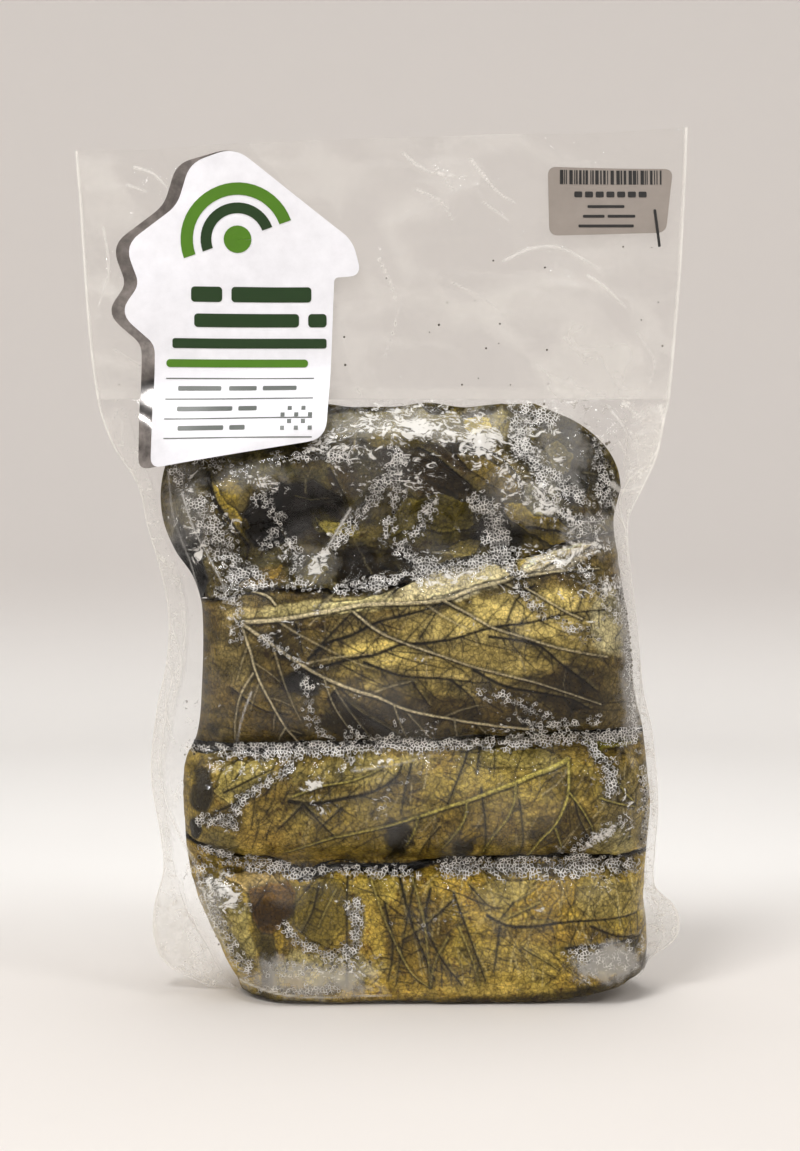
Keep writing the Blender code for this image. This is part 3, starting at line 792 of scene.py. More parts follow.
# What the picture shows on each roll, in millimetres across and up: patches of another colour as
# (across, up, half width, half height, turn, colour, strength), flaps as (colour, strength, lift,
# points), dark and pale veins as (width, spacing of the side veins, points)
rollMarks = {
    "roll_base": {
        "colour": "#857033",
        "seed": 101,
        "lightness": (1.27, 1.25, 1.0),
        "contrast": 0.3,
        "veins": "#7d7240",
        "patches": (
            (38.5, 36, 8.5, 3.3, 6, "#8f7f50", 0.6), (51.5, 34, 6.3, 6.6, -8, "#7b6426", 0.6),
            (70.5, 33.5, 12.4, 6.3, -6, "#7f7148", 0.8), (56.5, 22.5, 23.5, 3.5, -2, "#735d2b", 0.7),
            (-38.5, 37, 6.6, 3.9, 0, "#9c8460", 0.8), (-38, 30, 6.3, 4.7, 0, "#4f3a12", 0.9),
            (-39.5, 15.5, 2.8, 9.8, 0, "#4b4223", 0.85), (-23, 30, 7.9, 11.2, 0, "#675829", 0.8),
            (-21.5, 12, 18.3, 5.7, 0, "#90876a", 0.7), (9, 23.5, 12.6, 14.2, 0, "#5f4a1e", 0.65),
            (39, 14, 17.3, 8.2, 0, "#7d6c3a", 0.6), (-52, 24.5, 7.9, 16.5, 20, "#7c7558", 0.6),
            (69, 14, 9.9, 4.4, 0, "#8c867a", 0.8), (-10.5, 26, 2.5, 8.7, 0, "#6b634b", 0.7),
            (31, 5.5, 15.7, 2.4, 0, "#96824a", 0.6),
        ),
        "flaps": (
            ("#8f7a58", 0.8, 0.3, ((-53.5, 40.4), (-44, 41.5), (-38.5, 40.4), (-33, 37.1),
                                   (-45.2, 35.5))),
            ("#4c3410", 0.95, -0.6, ((-45.2, 36.6), (-33, 39.3), (-30.2, 36), (-31.9, 29.4), (-35.2, 26),
                                     (-37.4, 23.8), (-40.7, 23.8), (-44, 28.2))),
            ("#7b6426", 0.8, 0.6, ((50.2, 39.3), (60.1, 42.1), (57.4, 32.7), (53.5, 27.7), (45.7, 28.2),
                                   (42.4, 33.8))),
            ("#43391c", 0.9, 0.2, ((-44, 23.8), (-37.4, 22.7), (-36.8, 17.2), (-38.5, 8.3), (-40.7, 7.2),
                                   (-40.2, 16.1), (-42.9, 19.4))),
            ("#5f5226", 0.75, 0.5, ((-30.2, 32.7), (-24.1, 39.3), (-15.2, 39.3), (-14.1, 26),
                                    (-19.7, 19.4), (-25.2, 21.6), (-30.7, 26))),
            ("#7d7250", 0.6, 0.4, ((59, 18.3), (79, 18.8), (77.9, 11.6), (66.8, 10.5), (60.1, 13.8))),
            ("#8d7d4c", 0.45, 0.4, ((25.8, 36), (32.4, 39.3), (46.8, 39.3), (40.2, 33.8), (29.1, 30.5))),
        ),
        "dark": (
            (0.9, 0, ((30.5, 29), (36.5, 26), (45, 25.5), (57, 27), (79.5, 28))),
            (0.9, 0, ((55.5, 18.5), (66, 19.5), (80, 20.5))),
            (0.7, 0, ((-14, 40), (-14, 25.5), (-14, 7.5))), (1.0, 9, ((3, 39.5), (7, 25.5), (14, 8))),
            (0.8, 0, ((-2, 33), (0.5, 19), (-1, 8))),
            (0.9, 8, ((12.5, 37), (11, 27), (15.5, 16), (22.5, 6.5))),
            (0.8, 0, ((20, 35.5), (25, 22), (30, 8))), (0.7, 0, ((7.5, 39.5), (4, 22), (1.5, 6.5))),
            (0.8, 0, ((19, 33), (10.5, 25.5), (3.5, 21))),
            (0.7, 0, ((34.5, 25.5), (33.5, 17.5), (32.5, 11))),
            (0.7, 0, ((39, 33), (35.5, 29), (33.5, 26.5))), (0.6, 0, ((25, 38), (31, 32), (36, 31))),
            (0.7, 0, ((63.5, 25.5), (72, 22), (78.5, 21))),
            (0.7, 0, ((-23, 38), (-25, 30), (-28.5, 23.5))),
        ),
        "pale": (
            (0.6, 0, ((-6.5, 39.5), (-4, 33), (-1, 25.5), (3.5, 16))),
            (0.6, 0, ((6.5, 41), (10.5, 27), (12.5, 6.5))), (0.6, 0, ((2, 19), (6.5, 11), (12.5, 6))),
            (0.6, 0, ((18, 22), (14, 14.5), (12.5, 6.5))), (0.6, 0, ((21.5, 25.5), (26, 14.5), (28, 6))),
            (0.5, 0, ((42, 19), (48.5, 15), (53, 12))), (0.6, 0, ((47, 33), (40.5, 30), (36, 28))),
            (0.5, 0, ((-17.5, 36.5), (-21, 30), (-23, 25.5))),
        ),
        # count, lowest and highest place, heading, spread, length, pale or not
        "creases": (
            (130, (-48, 6), (80, 38), 75, 45, (5, 20), False),
            (60, (0, 6), (80, 40), 150, 30, (6, 22), False),
            (60, (0, 6), (80, 38), 80, 50, (5, 16), True),
        ),
    },
    "roll_second": {
        "colour": "#786530",
        "seed": 202,
        "lightness": (0.98, 0.98, 0.98),
        "contrast": 0.38,
        "veins": "#877d3c",
        "patches": (
            (40.5, 73, 25.2, 6.9, -4, "#8c7a38", 0.6), (42, 78.5, 11.3, 3.3, -8, "#9c8b4c", 0.6),
            (-46.5, 72, 10.7, 5.8, 14, "#9a8748", 0.75), (-13, 60, 22, 9.4, -6, "#7d6b31", 0.6),
            (-10, 75.5, 18.9, 4.6, 4, "#93834a", 0.65), (3, 53.5, 4.2, 5, 20, "#1a1207", 0.8, 1.3),
            # the patch at (-60.5, 68) is painted shade at the leaves' left end
            (23.5, 50, 4.1, 3.8, 0, "#1c1408", 0.8, 1.3), (-60.5, 68, 3.1, 6.9, 0, "#3a3327", 0.8, 1.2),
            (-63, 55.5, 2, 3.5, 0, "#0e0b06", 0.95), (-53.5, 50.5, 5.4, 5.2, 0, "#5d5332", 0.8),
            (28, 57.5, 15.7, 5.5, 0, "#6a5520", 0.6), (55, 55, 11, 8.2, 0, "#4b3c18", 0.7),
            (73.5, 63, 7.9, 12.6, 0, "#6a5d3c", 0.7), (70.5, 52.5, 7.9, 5.8, -20, "#77704f", 0.6),
            (56.5, 70, 9.4, 3.8, 0, "#3b2a12", 0.4), (17, 70, 7.9, 3.9, 0, "#93803c", 0.5),
        ),
        "flaps": (
            ("#1a1207", 0.6, -0.6, ((-0.8, 56), (3.7, 57.2), (4.4, 59.8), (5.9, 54.8), (3.2, 50.3),
                                    (4.1, 46.9), (-0.8, 44.8), (0.6, 49.5), (-1.9, 52.5))),
            ("#1c1408", 0.6, -0.6, ((20.2, 51.6), (23.5, 50.2), (26.9, 53.8), (25.3, 48.2), (22.5, 45),
                                    (19.9, 47.1))),
            ("#6a6420", 0.9, 0.8, ((65.7, 87), (69, 88.1), (72.3, 85.9), (81.2, 83.1), (75.7, 81.4),
                                   (69, 81.4), (65.7, 78.1), (65.1, 81.4), (61.3, 82.6))),
            ("#97864a", 0.3, 0.3, ((22.5, 80.3), (39.1, 82), (48, 80.9), (53.5, 78.7), (44.6, 75.9),
                                   (29.1, 75.9))),
            # painted shade at the leaves' left end, also dented
            ("#3a3327", 0.85, -0.3, ((-61.8, 73.7), (-57.3, 74.8), (-56.2, 65.9), (-59.6, 60.4),
                                     (-62.9, 62.6))),
            ("#8f8045", 0.5, 0.3, ((-52, 76), (-36, 79), (-40, 71), (-50, 64), (-56, 68))),
        ),
        "dark": (
            (1.3, 9, ((-32, 65.5), (-25, 64.5), (-14, 66.5), (-5.5, 68.5), (1.5, 73), (3.5, 77))),
            (0.7, 0, ((-27.5, 64.5), (-32, 60), (-36.5, 55.5))),
            (0.7, 0, ((-27, 63.5), (-22, 58), (-17.5, 53))), (0.7, 0, ((-15.5, 63.5), (-22, 57))),
            (0.7, 0, ((25, 81.5), (21, 72), (17.5, 63.5))), (0.7, 0, ((6.5, 77), (4.5, 69.5), (3, 61))),
            (0.7, 0, ((28.5, 81.5), (27, 74))), (0.6, 0, ((15.5, 57), (11.5, 52), (9, 46.5))),
            (0.7, 0, ((28.5, 69.5), (30, 57), (30, 49))), (0.6, 0, ((40.5, 66), (42, 53.5), (41, 46.5))),
            (0.6, 0, ((58, 66), (59.5, 60), (63.5, 52))),
            (0.7, 0, ((-53, 68), (-44.5, 72), (-37.5, 75.5))),
            (0.6, 0, ((-56.5, 61.5), (-50, 64.5), (-46, 68))),
        ),
        "pale": (
            (1.7, 0, ((56.5, 78), (51, 75.5), (45, 73.5), (39, 71), (32, 68.5), (24, 65.5), (17.5, 63.5),
                      (9, 60.5))),
            (0.9, 0, ((8.5, 60.5), (-3, 57), (-14, 54.5), (-25, 51.5), (-33.5, 48.5))),
            (0.95, 0, ((56.5, 77), (56, 68), (54, 62), (51.5, 57.5), (47, 52), (43, 46))),
            (0.6, 0, ((52, 57), (54, 51.5), (54.5, 49))),
            (0.75, 0, ((39.5, 70.5), (39, 65.5), (36.5, 59.5), (32.5, 54), (29.5, 48.5))),
            (0.75, 0, ((24, 65), (23.5, 60.5), (21, 56), (16.5, 49.5))),
            (0.6, 0, ((8.5, 60), (7.5, 56), (5, 51))),
            (0.6, 0, ((56.5, 68), (60, 63.5), (63.5, 57.5), (64, 55))),
            (0.6, 0, ((66, 66.5), (72, 64.5), (77.5, 63))),
            (0.6, 0, ((72, 71.5), (74.5, 67.5), (77.5, 64.5))),
            (0.6, 0, ((-31, 67), (-22.5, 70), (-11.5, 72), (-3, 75.5))),
        ),
        # count, lowest and highest place, heading, spread, length, pale or not
        "creases": (
            (170, (-55, 48), (78, 78), 65, 45, (4, 16), False),
            (40, (-30, 48), (78, 76), 70, 30, (4, 12), True),
        ),
    },
    "roll_wide": {
        "colour": "#584a26",
        "seed": 303,
        "lightness": (0.75, 0.74, 0.84),
        "contrast": 0.5,
        "veins": "#8d8462",
        "patches": (
            (26.5, 115, 45.6, 14.2, 8, "#8b7a41", 0.7), (44, 124.5, 28.3, 7.9, 6, "#97864a", 0.6),
            (23.5, 135, 20.5, 4.7, 10, "#bab089", 0.75), (52, 142.5, 13.7, 4.7, 12, "#c3b99e", 0.75),
            (-21, 126.5, 29.9, 2.8, 4, "#a79a63", 0.7), (-48.5, 118, 7.1, 14.2, 0, "#7b6d45", 0.5),
            (-31, 102.5, 4.1, 2.7, 0, "#15100a", 0.9), (1.5, 91, 23.6, 8.3, 6, "#44361a", 0.75),
            (-38, 92, 9.4, 8.7, 0, "#5c4a1f", 0.6), (59.5, 99, 12.6, 8.2, -12, "#3b2e15", 0.85),
            (39, 92, 14.2, 5.5, -6, "#4a3b1b", 0.7), (70.5, 121.5, 7.9, 11, 0, "#8f8763", 0.7),
            (72, 97.5, 6.3, 12.6, 0, "#554a31", 0.7), (-3.5, 112.5, 12.6, 3.9, 8, "#9a8845", 0.5),
            (-23, 115, 5.5, 6.3, 0, "#6c5b2c", 0.7),
        ),
        "flaps": (
            ("#a59a78", 0.85, 0.4, ((38.5, 141.4), (43.7, 143), (56.2, 145.6), (64.5, 147.6),
                                    (61.4, 144.5), (51, 140.4), (41.7, 137.2), (39.1, 136.7))),
            ("#6f6028", 0.9, 0.3, ((38.5, 140.9), (41.7, 142.4), (43.2, 140.4), (39.6, 136.2))),
            ("#857b58", 0.7, 0.4, ((2.1, 132), (12.5, 137.2), (21.9, 140.4), (33.3, 140.4), (37.5, 137.2),
                                   (30.2, 134.6), (17.7, 131), (5.3, 128.4), (-2, 127.9))),
            ("#8a8158", 0.6, 0.3, ((-21.8, 127.9), (-7.2, 129.4), (1.1, 132), (-1, 127.4), (-15.6, 124.8),
                                   (-23.9, 124.2))),
            ("#1a140b", 0.9, -0.8, ((-33.8, 105), (-28, 107.1), (-21.8, 105), (-22.8, 99.8), (-28, 98.8),
                                    (-32.2, 100.8))),
            ("#2b210f", 0.55, -0.2, ((-18, 97), (-10, 96), (2, 86), (-14, 85), (-22, 90))),
        ),
        "dark": (
            (1.1, 14, ((-31, 106), (-20, 108.5), (-12.5, 110.5), (-4.5, 112), (3, 115), (10.5, 115.5),
                       (20, 117), (32, 120.5), (43.5, 122), (57, 125), (68.5, 126))),
            (1.0, 13, ((-26, 110.5), (-20, 115.5), (-12.5, 118), (-4.5, 122), (3, 124), (10.5, 126),
                       (16.5, 128.5))),
            (0.9, 12, ((-8.5, 109.5), (-1, 106.5), (4.5, 105), (12.5, 104.5), (18.5, 104), (26, 103),
                       (31, 103))),
            (0.7, 0, ((6.5, 103.5), (10, 98.5), (12.5, 95))),
            (0.7, 0, ((18.5, 104), (22.5, 101), (26, 97.5), (27.5, 93.5))),
            (1.1, 12, ((-17.5, 99.5), (-12.5, 95), (-4.5, 89.5), (3, 85))),
            (0.8, 0, ((-20, 97.5), (-16.5, 101), (-12.5, 97.5))),
            (0.9, 13, ((31, 117.5), (39.5, 116.5), (47, 114.5), (53, 109.5), (59, 105), (65.5, 100))),
            (0.9, 12, ((26, 107), (35.5, 102), (47, 99.5), (57, 97.5), (63.5, 94))),
            (0.6, 0, ((61.5, 133), (59, 126))), (0.7, 0, ((45.5, 134), (39.5, 129), (36.5, 122))),
            (0.8, 0, ((-30, 121.5), (-28, 113))), (0.8, 0, ((-24, 113), (-14.5, 123), (-12.5, 125))),
            (0.6, 0, ((9, 117), (13.5, 124), (15.5, 128))),
            (0.6, 0, ((-50.5, 101), (-40.5, 94), (-32, 92.5))),
        ),
        "pale": (
            (1.5, 24, ((-47, 122), (-34.5, 123), (-20, 125.5), (-8.5, 127.5), (4.5, 128), (16.5, 129),
                       (26, 132.5), (38.5, 136), (49, 140.5), (63.5, 146.5))),
            (0.8, 0, ((38.5, 136), (49, 137.5), (59, 138.5), (66.5, 139))),
            (1.3, 26, ((-47, 121.5), (-41, 117.5), (-34.5, 113), (-28, 108.5), (-21, 104.5), (-12.5, 101),
                       (-4.5, 98.5), (3, 95), (12.5, 92.5), (25, 90), (38, 88.5), (47, 87.5))),
            (1.0, 13, ((-47, 120.5), (-44.5, 113), (-42.5, 106), (-38.5, 97.5), (-33.5, 88.5),
                       (-29.5, 83))),
            (0.7, 0, ((-43.5, 106), (-47, 100), (-49, 93.5), (-50, 84))),
            (0.6, 0, ((-33.5, 88.5), (-36, 84))),
            (0.75, 0, ((-11.5, 125), (-4.5, 119.5), (3, 116), (14.5, 112), (26, 108), (38, 105),
                       (49, 102), (66.5, 96))),
            (0.8, 0, ((16.5, 129), (24, 125), (32, 120.5), (41.5, 117.5), (53, 114), (68.5, 111))),
            (0.7, 0, ((42.5, 133), (49, 129), (55, 125.5), (60.5, 123))),
            (0.5, 0, ((-21, 104), (-18.5, 96.5), (-14.5, 89.5), (-9.5, 83))),
            (0.5, 0, ((1, 95.5), (3, 89.5), (5.5, 84))), (0.5, 0, ((20, 91.5), (21, 85.5))),
            (1.4, 0, ((-56.5, 129.5), (-47, 132), (-39.5, 130.5), (-36.5, 127.5))),
        ),
        # count, lowest and highest place, heading, spread, length, pale or not
        "creases": (
            (90, (-50, 86), (78, 128), 75, 50, (3, 10), False),
            (40, (-20, 88), (78, 118), 165, 25, (8, 20), False),
            (14, (-40, 86), (70, 125), 60, 60, (5, 14), True),
        ),
    },
    "roll_arch": {
        "colour": "#4d4324",
        "seed": 404,
        "lightness": (1.05, 1.05, 1.05),
        "contrast": 0.2,
        "veins": "#7d7240",
        "patches": (
            (-29.5, 155.5, 15.4, 8.8, -8, "#2c2110", 0.95), (-14.5, 167.5, 5.8, 6.6, 20, "#3d3018", 0.9),
            (11.5, 172, 14.8, 10.4, -24, "#36291a", 0.92), (9, 175, 6.3, 4.7, -24, "#4a3d22", 0.8),
            (34, 169.5, 8.3, 9.1, -28, "#5f5025", 0.85), (-54.5, 160.5, 5.2, 9.4, -30, "#6d5c1e", 0.9),
            (-66, 153.5, 7.1, 11.8, -20, "#4b4534", 0.7), (-18, 152, 6.6, 3.1, -10, "#8a7c36", 0.9),
            (-9, 139, 8.2, 6.3, -20, "#33270f", 0.8), (-41, 136.5, 6.8, 3.8, 12, "#6b5520", 0.9),
            (10, 186, 42, 6, 0, "#75693a", 0.7), (0.5, 181, 8.8, 4.2, 0, "#6f6130", 0.85),
            (27.5, 186.5, 26, 4.2, 0, "#6b5f31", 0.7), (14, 154, 12.3, 6.1, 6, "#615726", 0.85),
            (42, 156.5, 5.5, 3.1, -16, "#716a22", 0.9), (4.5, 140, 7.9, 6.5, 0, "#2a2010", 0.85),
            (33.5, 148, 7.2, 6.3, 0, "#1b150c", 0.9), (52.5, 149, 9.3, 3.5, -6, "#3a3113", 0.9),
            (27.5, 146, 7.1, 2.8, 8, "#5d5128", 0.8), (63, 175, 9.1, 14, 0, "#2b2617", 0.9),
            (66, 159, 4.1, 4.7, 0, "#6e5325", 0.9), (54.5, 175.5, 4.1, 5.7, 0, "#5c522c", 0.8),
            (48.5, 161.5, 6.8, 7.9, -30, "#8c8671", 0.8), (-46.5, 138, 5.7, 3.8, 0, "#2a2418", 0.8),
            # the black patch at (-66, 136) is painted shade at the leaves' left end
            (-66, 136, 5.2, 17, -16, "#0e0b06", 0.97), (-43, 173.5, 14.2, 6.3, 0, "#575033", 0.7),
            (-26, 172.5, 4.9, 2.4, 0, "#69592a", 0.8),
        ),
        "flaps": (
            # painted shade: black at the leaves' left end, also dented
            ("#0e0b06", 0.95, -1.2, ((-70.5, 154.7), (-62.9, 142.1), (-58.6, 119.9), (-66.1, 125.5),
                                     (-73.3, 141.1))),
            ("#1d150a", 0.95, -2.2, ((-43.9, 160.6), (-34.9, 165.1), (-24.7, 165.7), (-15.6, 160.6),
                                     (-14.5, 157.2), (-24.7, 154.9), (-29.2, 150.4), (-39.4, 144.8),
                                     (-45, 147), (-48.4, 152.7))),
            ("#3f3119", 0.9, -1.4, ((-6.6, 177.5), (2.5, 175.3), (10.4, 173.6), (18.3, 170.8),
                                    (25.1, 165.1), (26.2, 161.7), (20.5, 160.6), (13.8, 165.1),
                                    (8.1, 168.5), (2.5, 166.2), (1.3, 173), (-4.3, 171.9))),
            ("#6d5c1e", 0.9, 0.5, ((-59.2, 169.1), (-55.2, 164), (-50.7, 158.3), (-45.6, 153.2),
                                   (-44.5, 149.8), (-49, 149.3), (-52.4, 153.8), (-56.3, 160.6),
                                   (-58.8, 165.1))),
            ("#8a7c36", 0.9, 0.5, ((-24.1, 154.4), (-11.1, 153.2), (-13.4, 149.3), (-20.2, 149.8))),
            ("#6b5520", 0.9, 0.5, ((-47.3, 135.1), (-38.2, 139.1), (-34.9, 141.4), (-36, 136.8),
                                   (-42.8, 133.4), (-48.4, 133.4))),
            ("#5b5123", 0.85, 0.5, ((4.7, 160.6), (13.8, 161.1), (25.1, 159.5), (26.2, 152.7),
                                    (17.2, 150.4), (9.2, 152.7), (0.2, 149.3), (-2.1, 152.7))),
            ("#6a5a20", 0.9, 0.6, ((35.8, 159.5), (42, 158.9), (45.4, 154.9), (53.3, 154.9),
                                   (60.1, 148.1), (52.2, 146.5), (43.2, 149.3), (36.4, 154.9))),
            ("#5a4a1e", 0.9, 0.6, ((-4, 141), (2, 139.5), (8, 134), (4, 133.5), (-3, 136.5))),
            ("#6b5e2a", 0.85, 0.5, ((-32, 139), (-25, 143), (-20, 140), (-24, 134), (-31, 133))),
            ("#5d5128", 0.9, 0.5, ((18.3, 145.9), (25.1, 148.7), (29, 148.1), (27.3, 143.6),
                                   (20.5, 142.5))),
            ("#5f5025", 0.85, 0.5, ((20.5, 176.4), (29.6, 174.7), (36.4, 170.8), (41.5, 165.1),
                                    (42, 161.7), (34.1, 164), (26.2, 169.6))),
            ("#3a3118", 0.9, 0.5, ((53.3, 188.3), (59, 186.6), (64.6, 180.9), (69.2, 173), (69.7, 164),
                                   (68, 154.4), (64.1, 154.4), (62.4, 160.6), (64.6, 166.2),
                                   (63.5, 175.3), (57.9, 183.2))),
            ("#5c522c", 0.85, 0.4, ((49.9, 178.7), (54.5, 180.9), (59, 176.4), (57.9, 170.8),
                                    (53.3, 171.9))),
            ("#7a6a22", 0.9, 0.4, ((23.9, 188.3), (31.9, 188.9), (32.4, 183.8), (27.3, 183.2),
                                   (23.9, 185.5))),
            ("#2e2210", 0.85, -1.0, ((-14.5, 145.3), (-8.9, 145.9), (1.3, 138), (7, 135.7), (4.7, 133.4),
                                     (-3.2, 134.6), (-15.6, 132.3), (-16.8, 136.8))),
        ),
        "dark": (
            (1.6, 0, ((-59.5, 170.5), (-56, 160.5), (-50, 152), (-46, 146))),
            (1.0, 0, ((9, 178), (15.5, 173.5), (25, 165))),
            (1.0, 0, ((25, 180), (34.5, 175), (41.5, 167), (42, 160.5))),
            (1.0, 0, ((1.5, 141.5), (3.5, 137), (8.5, 134))),
            (1.0, 0, ((43, 151), (52.5, 150.5), (61.5, 148))),
            (0.9, 0, ((-19.5, 170.5), (-14.5, 160.5), (-13.5, 154.5))),
        ),
        "pale": (

        ),
        # count, lowest and highest place, heading, spread, length, pale or not
        "creases": (
            (110, (-62, 134), (72, 190), 60, 80, (4, 16), False),
            (30, (-62, 134), (72, 190), 60, 80, (4, 12), True),
        ),
    },
}


def paintRoll(canvas, marks):
    for spot in marks["patches"]:
        patch(canvas, *spot)
    for colour, strength, lift, points in marks["flaps"]:
        flap(canvas, points, colour, strength, lift)
    light = smoothStep(0.03, 0.2, canvas["tint"].mean(axis=-1))
    cured, bleached = np.array((0.98, 0.98, leaf["blueShare"])), np.array((-0.06, -0.03, 0.2))
    canvas["tint"] *= cured + light[..., None] * bleached
    for k, (count, low, high, heading, spread, length, pale) in enumerate(marks["creases"]):
        creaseMarks(canvas, count, low, high, heading, spread, length, 60 + k, pale)
    for kind in ("dark", "pale"):
        for k, (width, side, points) in enumerate(marks[kind]):
            vein(canvas, width, side, points, kind, 20 + k, marks["veins"])
    level = canvas["tint"].mean(axis=-1, keepdims=True) / canvas["level"]
    canvas["tint"] *= np.array(marks["lightness"]) * np.clip(level, 0.15, 3) ** marks["contrast"]


def foot(x):
    return baseLine(x) + 0.9


def crown(x):
    return leaf["topHeight"] + leaf["topUneven"] * cloud(x, 0 * x, 12.0, 8)


def cleft(name):
    return lambda x: cleftHeight(name, x)


borders = (foot, cleft("low"), cleft("middle"), cleft("high"), crown)
for k, rollName in enumerate(rollMarks):
    buildRoll(rollName, borders[k], borders[k + 1])
print("leaf rolls done")


film = {
    "columns": 310,
    "rowsPouch": 310,
    "rowsHeader": 150,
    "backSquares": 206,
    "backRowsHeader": 100,
    "wingShare": 0.07,  # of the columns, for each empty side seam
    "crinkles": 520,
    "crinkleHeight": 0.32,
    "labelBox": (-96, 162, -6, 282),  # a label holds the film flat under it
    "bubble": 1.0,  # across, in the foam that is only drawn
    "shred": 4.2,
    "wrinkle": 5.0,
    "glossLeast": 0.015,
    "glossMore": 0.34,
}
# Where trapped air or thin foam makes the film milky, with painted glare in the same spots: across, up,
# half width, half height, turn, strength
milkAndGlareSpots = (
    (-25, 71, 6, 2.4, 25, 0.5), (-2, 77.5, 5, 1.4, 15, 0.5), (51, 143, 13, 3.6, 12, 0.5),
    (22, 136, 13, 3.2, 10, 0.45), (-23, 141, 5, 7.5, -30, 0.6), (43, 178, 9, 9, 0, 0.45),
    (-5, 186, 10, 4, 0, 0.55), (-21, 12, 18, 5.5, 0, 0.34), (-54, 36, 7, 9, 20, 0.5),
    (72, 134, 7, 7, 0, 0.5), (78.5, 110, 3.5, 26, 0, 0.45), (8, 184, 9, 5, -8, 0.7),
    (30, 180, 8, 6, -25, 0.65), (54, 178, 6, 10, 10, 0.4), (-40, 166, 9, 3, -12, 0.45),
    (66, 146, 8, 4, 10, 0.5), (-62, 148, 5, 9, 15, 0.45), (-34, 143, 8, 3, 10, 0.4),
    (38, 163, 8, 5, -35, 0.4), (65, 53, 11, 2.2, 36, 0.5), (48, 161, 7, 8, -30, 0.5),
    (-64, 165, 6, 8, 0, 0.35), (-50, 125, 5, 8, 0, 0.35), (60, 120, 9, 6, 20, 0.25),
    (76, 64, 3, 14, 0, 0.35), (-10, 178, 9, 4, 20, 0.4),
)
# Where the film is crushed to a bright net over the bent roll, partly painted highlight on its crinkles:
# width, strength, points
netBands = (
    (11.0, 1.0, ((-22, 178), (-10, 184), (6, 186), (20, 181), (32, 173), (44, 164), (55, 156))),
    (7.0, 0.8, ((10, 190), (28, 189), (38, 184))), (5.0, 0.8, ((-21, 141), (-17, 147), (-22, 151))),
    (5.0, 0.7, ((44, 143), (56, 146), (66, 149))), (4.0, 0.6, ((-60, 172), (-48, 170), (-38, 168))),
)
# Thin even haze in the film: across, up, half width, half height, strength
hazePatches = (
    (-24, 9, 22, 6, 0.34), (69, 14, 11, 6, 0.42), (78, 110, 5, 30, 0.3), (55, 178, 9, 12, 0.18),
    (-66, 160, 8, 14, 0.12), (86, 172, 7, 20, 0.4), (-78, 60, 7, 55, 0.32), (-73, 20, 9, 16, 0.42),
    (10, 185, 38, 5, 0.2), (-25, 141, 7, 6, 0.1), (-60, 24, 7, 16, 0.22), (88, 22, 6, 14, 0.25),
    (-46, 168, 12, 5, 0.12), (40, 160, 10, 9, 0.12), (66, 150, 10, 6, 0.18),
)
# Painted highlights along creases in the film: width, strength, points
paintedCreaseHighlights = (
    (0.7, 0.7, ((-13, 158), (-20, 146), (-25, 134))), (0.6, 0.6, ((-67, 163), (-61, 148), (-52, 132))),
    (0.8, 0.5, ((-76, 108), (-74, 92), (-76, 78), (-74, 66), (-60, 40))),
    (0.7, 0.5, ((-74, 66), (-66, 50), (-50, 12))), (0.8, 0.6, ((-48, 8), (-30, 3.5), (0, 4))),
    (1.0, 0.7, ((79, 152), (80, 136), (82, 118), (82, 90))),
    (0.8, 0.6, ((72, 160), (78, 150), (84, 138))),
    (1.2, 0.7, ((92, 193), (90, 178), (84, 166), (78, 163))),
    (0.9, 0.7, ((76, 193), (82, 188), (90, 186))), (0.7, 0.6, ((74, 180), (80, 172), (88, 170))),
    (1.2, 0.8, ((88, 192), (89, 183), (85, 174), (78, 168))),
    (0.8, 0.7, ((78, 168), (75, 160), (77, 150), (78, 138))),
    (2.2, 0.5, ((72, 166), (76, 164), (83, 166))), (0.8, 0.6, ((72, 190), (77, 182), (76, 172))),
    (0.6, 0.6, ((56, 150), (62, 154), (68, 153))),
    (0.5, 0.4, ((-72, 170), (-70, 156), (-64, 140), (-60, 126))),
    (1.0, 0.6, ((-77, 112), (-72, 104), (-74, 92), (-70, 82))),
    (0.8, 0.6, ((-72, 120), (-69, 108), (-71, 98))), (1.2, 0.5, ((-80, 30), (-74, 42), (-76, 56))),
    (0.8, 0.5, ((-72, 12), (-66, 26), (-68, 40))), (0.8, 0.5, ((-60, 4), (-70, 12), (-76, 22))),
    (0.7, 0.5, ((86, 10), (90, 20), (84, 30))), (0.6, 0.5, ((-44, 100), (-47, 92), (-49, 84))),
    (0.5, 0.4, ((-12, 75), (2, 77), (14, 80))),
)
# Painted highlights along the header's creases: width, strength, points
paintedHeaderHighlights = (
    (0.7, 0.8, ((-84, 270), (-78, 268), (-72, 262))), (0.6, 0.7, ((-86, 264), (-80, 262))),
    (0.6, 0.7, ((4, 274), (12, 268), (24, 266))), (0.6, 0.6, ((8, 262), (16, 258), (20, 252))),
    (0.7, 0.7, ((26, 272), (34, 262), (40, 258))), (0.5, 0.6, ((14, 270), (20, 262))),
    (0.5, 0.5, ((30, 258), (38, 252))), (0.9, 0.6, ((37, 239), (46, 243), (56, 243), (68, 236))),
    (0.8, 0.6, ((64, 234), (70, 230), (77, 223))), (0.6, 0.5, ((-4, 240), (2, 224), (-2, 208))),
    (0.6, 0.5, ((56, 214), (64, 208), (72, 206))), (0.6, 0.4, ((20, 232), (34, 224), (44, 210))),
    (0.6, 0.5, ((-94, 250), (-92, 236), (-95, 224))), (0.5, 0.5, ((80, 216), (86, 206), (84, 198))),
    (0.6, 0.4, ((-90, 210), (-80, 204), (-70, 202))),
)


